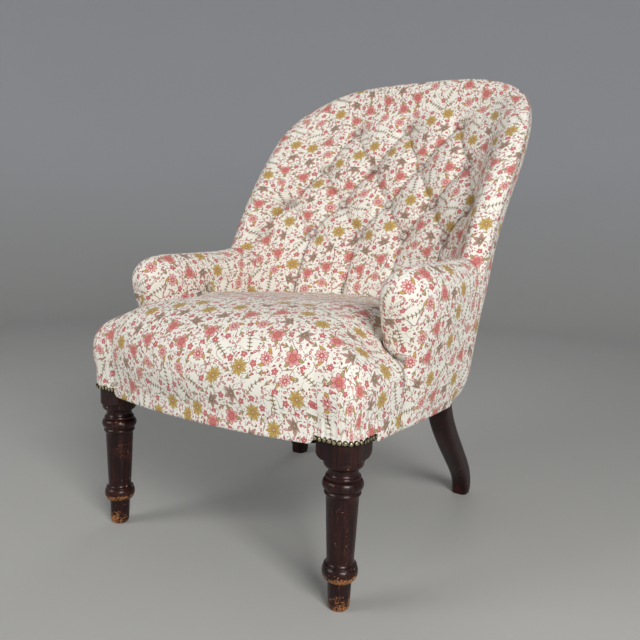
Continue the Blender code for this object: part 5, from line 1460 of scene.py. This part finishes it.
def stile_line():
    """Middle line of a rear leg and the upright it runs into."""
    rail_x, rail_y = STILE_AT_RAIL
    lower = ((0.0, 0.0, 0.0), (0.0, 0.0, 0.020), (0.12, 0.10, 0.050), (0.30, 0.33, 0.090),
             (0.5, 0.60, 0.135), (0.7, 0.83, 0.180), (1.0, 1.0, RAIL_BOTTOM),
             (1.0, 1.0, RAIL_TOP + 0.010))
    line = [(blend(REAR_FOOT[0], rail_x, a), blend(REAR_FOOT[1], rail_y, b), z) for a, b, z in lower]
    for z in np.linspace(BACK_PAD_BOTTOM - 0.008, STILE_TOP_Z, 6):
        x = float(side_x(z)) - UPRIGHT_INSET
        share = blend(0.60, 0.50, smoothstep(0.398, BACK_WAIST_Z, z))
        line.append((x, float(blend(pad_rear(x, z), back_outer(x, z) - 0.0035, share)), z))
    return line


def rear_leg_piece(word, side):
    """Raked rear leg with softly rounded edges, swept back to its foot."""
    line = smooth_run(stile_line(), 90)
    line[0, 2] = 0.0
    around = np.linspace(0, 2 * math.pi, 40, endpoint=False)
    cosine, sine = np.cos(around), np.sin(around)
    power = REAR_LEG_POWER
    reach = (np.abs(cosine) ** power + np.abs(sine) ** power) ** (-1 / power)
    rings = []
    for k, (x, y, z) in enumerate(line):
        before, beyond = line[max(0, k - 1)], line[min(len(line) - 1, k + 1)]
        lean = math.atan2(beyond[1] - before[1], beyond[2] - before[2]) * min(1.0, z / REAR_FOOT_LEVEL)
        scale = blend(REAR_FOOT_SIZE / STILE_DEPTH, 1.0, min(1.0, z / RAIL_BOTTOM))
        scale *= blend(1.0, UPRIGHT_SCALE, smoothstep(RAIL_TOP, BACK_PAD_BOTTOM - 0.01, z))
        scale *= blend(REAR_LEG_STOUT, 1.0, smoothstep(*STOUT_END, z))
        a = reach * cosine * STILE_WIDTH / 2 * scale
        b = reach * sine * STILE_DEPTH / 2 * scale
        rings.append(np.stack([side * (x + a), y + b * math.cos(lean), z - b * math.sin(lean)], -1))
    rings = np.array(rings)
    rings[0, :, :2] = blend(rings[0, :, :2].mean(0), rings[0, :, :2], REAR_FOOT_EASE)
    obj = tube("raked_rear_leg_" + word, rings, REAR_POLISH)
    return stand_for(obj, "show_wood", "rear_leg_" + word)


# Under the seat

def bottom_cloth_piece():
    """Dust cloth tacked under the rails, cut round the four legs and sagging a little."""
    inner = LEG_X - BLOCK_HALF - 0.002
    rail_x, rail_y = STILE_AT_RAIL
    half = [(0.0, -BLOCK_HALF - FRONT_BOW)]
    half += [(inner * k / 12, -BLOCK_HALF - FRONT_BOW * (1 - (k / 12) ** 2) + 0.001)
             for k in range(1, 13)]
    half += [(inner, BLOCK_HALF + 0.002), (FRAME_X - 0.001, BLOCK_HALF + 0.002)]
    half += [(FRAME_X - 0.001, rail_y - 0.075), (rail_x - 0.035, rail_y - 0.055),
             (rail_x - 0.035, rail_y + 0.030)]
    half += [(x, float(back_outer(x, COVER_BOTTOM)) - COVER_OUT - 0.002)
             for x in np.linspace(0.15, 0.0, 10)]
    outline = half + [(-x, y) for x, y in half[-2:0:-1]]
    shape = bmesh.new()
    shape.faces.new([shape.verts.new((x, y + LEG_Y, BOTTOM_CLOTH_Z)) for x, y in outline])
    for axis, low, high in ((0, -0.24, 0.24), (1, -0.04, 0.42)):
        for cut in np.arange(low, high, 0.02):
            place, normal = [0.0, 0.0, 0.0], [0.0, 0.0, 0.0]
            place[axis], normal[axis] = cut + (LEG_Y if axis else 0.0), 1.0
            bmesh.ops.bisect_plane(shape, geom=shape.verts[:] + shape.edges[:] + shape.faces[:],
                                   plane_co=place, plane_no=normal)
    for vertex in shape.verts:
        x, y = vertex.co.x, vertex.co.y - LEG_Y
        slack = max(0.0, 1 - (x / 0.235) ** 2) * max(0.0, 1 - ((y - 0.18) / 0.225) ** 2)
        vertex.co.z -= CLOTH_SAG * slack + CLOTH_RIPPLE * slack * math.sin(70 * x) * math.sin(55 * y)
    flat_area = sum(face.calc_area() for face in shape.faces)
    mesh = bpy.data.meshes.new("bottom_dust_cloth")
    shape.to_mesh(mesh)
    shape.free()
    mesh.shade_smooth()
    mesh.materials.append(DUST_CLOTH)
    obj = add_object("bottom_dust_cloth", mesh)
    return stand_for(obj, "dust_cloth", "bottom_cloth")


def dress_hidden_frame():
    """Finishes for the pieces inside the upholstery, which keep their own shapes."""
    jute = woven("jute", tone(120, 90, 54), tone(188, 154, 104), 0.0028, 0.0009)
    dressed = ((frame_beech(), ("front_seat_rail", "side_seat_rail", "back_seat_rail", "corner_brace",
                                "arm_post", "arm_rail", "crest_rail", "lower_back_rail")),
               (loose_stuffing(), ("seat_stuffing",)), (spring_wire(), ("seat_spring",)),
               (jute, ("webbing", "spring_hessian")))
    for name, obj in NODES.items():
        for finish, starts in dressed:
            if name.startswith(starts):
                for place in obj.material_slots:
                    place.material = finish


def back_button_pieces():
    """Buttons of the back, each square to the padding behind it."""
    step, sunk = 0.004, 0.0008
    for k, (x, z) in enumerate(BUTTONS):
        slope_x = float(pad_base(x + step, z) - pad_base(x - step, z)) / (2 * step)
        slope_z = float(pad_base(x, z + step) - pad_base(x, z - step)) / (2 * step)
        place = (x, float(pad_base(x, z)) - sunk, z)
        patch = (0.087 * k, 0.053 * k * k)
        button_piece("back_button_%02d" % (k + 1), place, (slope_x, -1.0, slope_z), patch)


def arm_button_piece(word, side):
    button_y, button_z = ARM_BUTTON
    place = settled(np.array((side * (ARM_INNER_X + 0.0055), button_y, button_z)), side, 1.0)
    button_piece("arm_button_" + word, place, (-side, 0.0, 0.0), (0.11 * side, 0.23))


for word, side in (("left", 1), ("right", -1)):
    front_leg_piece(word, side)
    rear_leg_piece(word, side)
    arm_piece(word, side)
    nail_piece(word, side)
    arm_button_piece(word, side)
back_button_pieces()
seat_piece()
inside_back_piece()
outside_back_piece()
bottom_cloth_piece()
dress_hidden_frame()


# Studio

FLOOR_TONE = tone(183, 183, 178)
WALL_TONE = tone(202, 204, 210)
CAMERA_PLACE = (0.64966574, -0.71133388, 0.49495744)
CAMERA_TURN = (0.587463, 0.129282, 0.0311934)    # heading, dip and roll
SENSOR_WIDTH = 36.0
FOCAL_SHARE = 662.109 / 640      # focal length over the picture's width
CHAIR_MIDDLE = (0.0, -0.05, 0.35)
SOFTBOX = (1.2, 1.2)


def studio_bowl():
    """Floor that curves up into a wall all round."""
    finish = Finish("studio_paper", Roughness=0.75, Specular_IOR_Level=0.25)
    place = finish.object_place()
    _, _, height = finish.split(place)
    mottle = finish.noise(place, 3.0, 2.0) * 0.5 + finish.noise(place, 26.0, 6.0, 0.7) * 0.5
    floor, curve, wall = 2.6, 1.2, 3.4
    up_wall = finish.ease(0.0, curve, height) * 0.8 + mottle * 0.2
    finish.set("Base Color", finish.mix(up_wall, FLOOR_TONE, WALL_TONE))
    profile = [(r, 0.0) for r in (0.6, 1.2, 1.8, floor)]
    profile += [(floor + curve * math.sin(a), curve * (1 - math.cos(a)))
                for a in np.radians(np.linspace(6, 90, 15))]
    profile.append((floor + curve, wall))
    points, faces = dome([(0.0, 0.0)] + profile, 96)
    obj = add_mesh("studio_floor", points - (0.0, LEG_Y, 0.0), faces, finish.material)
    obj.location.z = -0.0002


def soft_light(name, place, aim, size, power, tint):
    light = bpy.data.lights.new(name, "AREA")
    light.shape = "RECTANGLE"
    light.size, light.size_y = size
    light.energy = power
    light.color = tint
    obj = add_object(name, light)
    obj.location = place
    obj.rotation_euler = (Vector(aim) - Vector(place)).to_track_quat("-Z", "Y").to_euler()


def photo_camera():
    """Camera at the photograph's viewing angle."""
    heading, dip, roll = CAMERA_TURN
    ahead = math.cos(dip)
    towards = Vector((-math.sin(heading) * ahead, math.cos(heading) * ahead, -math.sin(dip)))
    level = towards.cross(Vector((0, 0, 1))).normalized()
    upright = level.cross(towards)
    right = math.cos(roll) * level + math.sin(roll) * upright
    up = -math.sin(roll) * level + math.cos(roll) * upright
    data = bpy.data.cameras.new("photo_camera")
    data.sensor_width = SENSOR_WIDTH
    data.lens = SENSOR_WIDTH * FOCAL_SHARE
    obj = add_object("photo_camera", data)
    obj.matrix_world = Matrix((right, up, -towards)).transposed().to_4x4()
    obj.location = Vector(CAMERA_PLACE) + Vector((0.0, LEG_Y, 0.0))
    bpy.context.scene.camera = obj


studio_bowl()
soft_light("left_softbox", (-1.4, -2.2, 1.7), CHAIR_MIDDLE, SOFTBOX, 23.0, (1.0, 0.98, 0.96))
soft_light("rear_softbox", (-0.9, 2.3, 2.2), (0.0, 0.2, 0.45), (1.4, 1.4), 7.0, (1.0, 0.99, 0.98))
soft_light("right_softbox", (2.2, -1.6, 1.6), CHAIR_MIDDLE, SOFTBOX, 67.0, (1.0, 0.985, 0.97))
world = bpy.data.worlds.new("studio_air")
bpy.context.scene.world = world
world.use_nodes = True
air = world.node_tree.nodes["Background"].inputs
air["Color"].default_value = (0.90, 0.93, 1.0, 1.0)
air["Strength"].default_value = 0.18
bpy.context.scene.view_settings.view_transform = "Standard"
photo_camera()
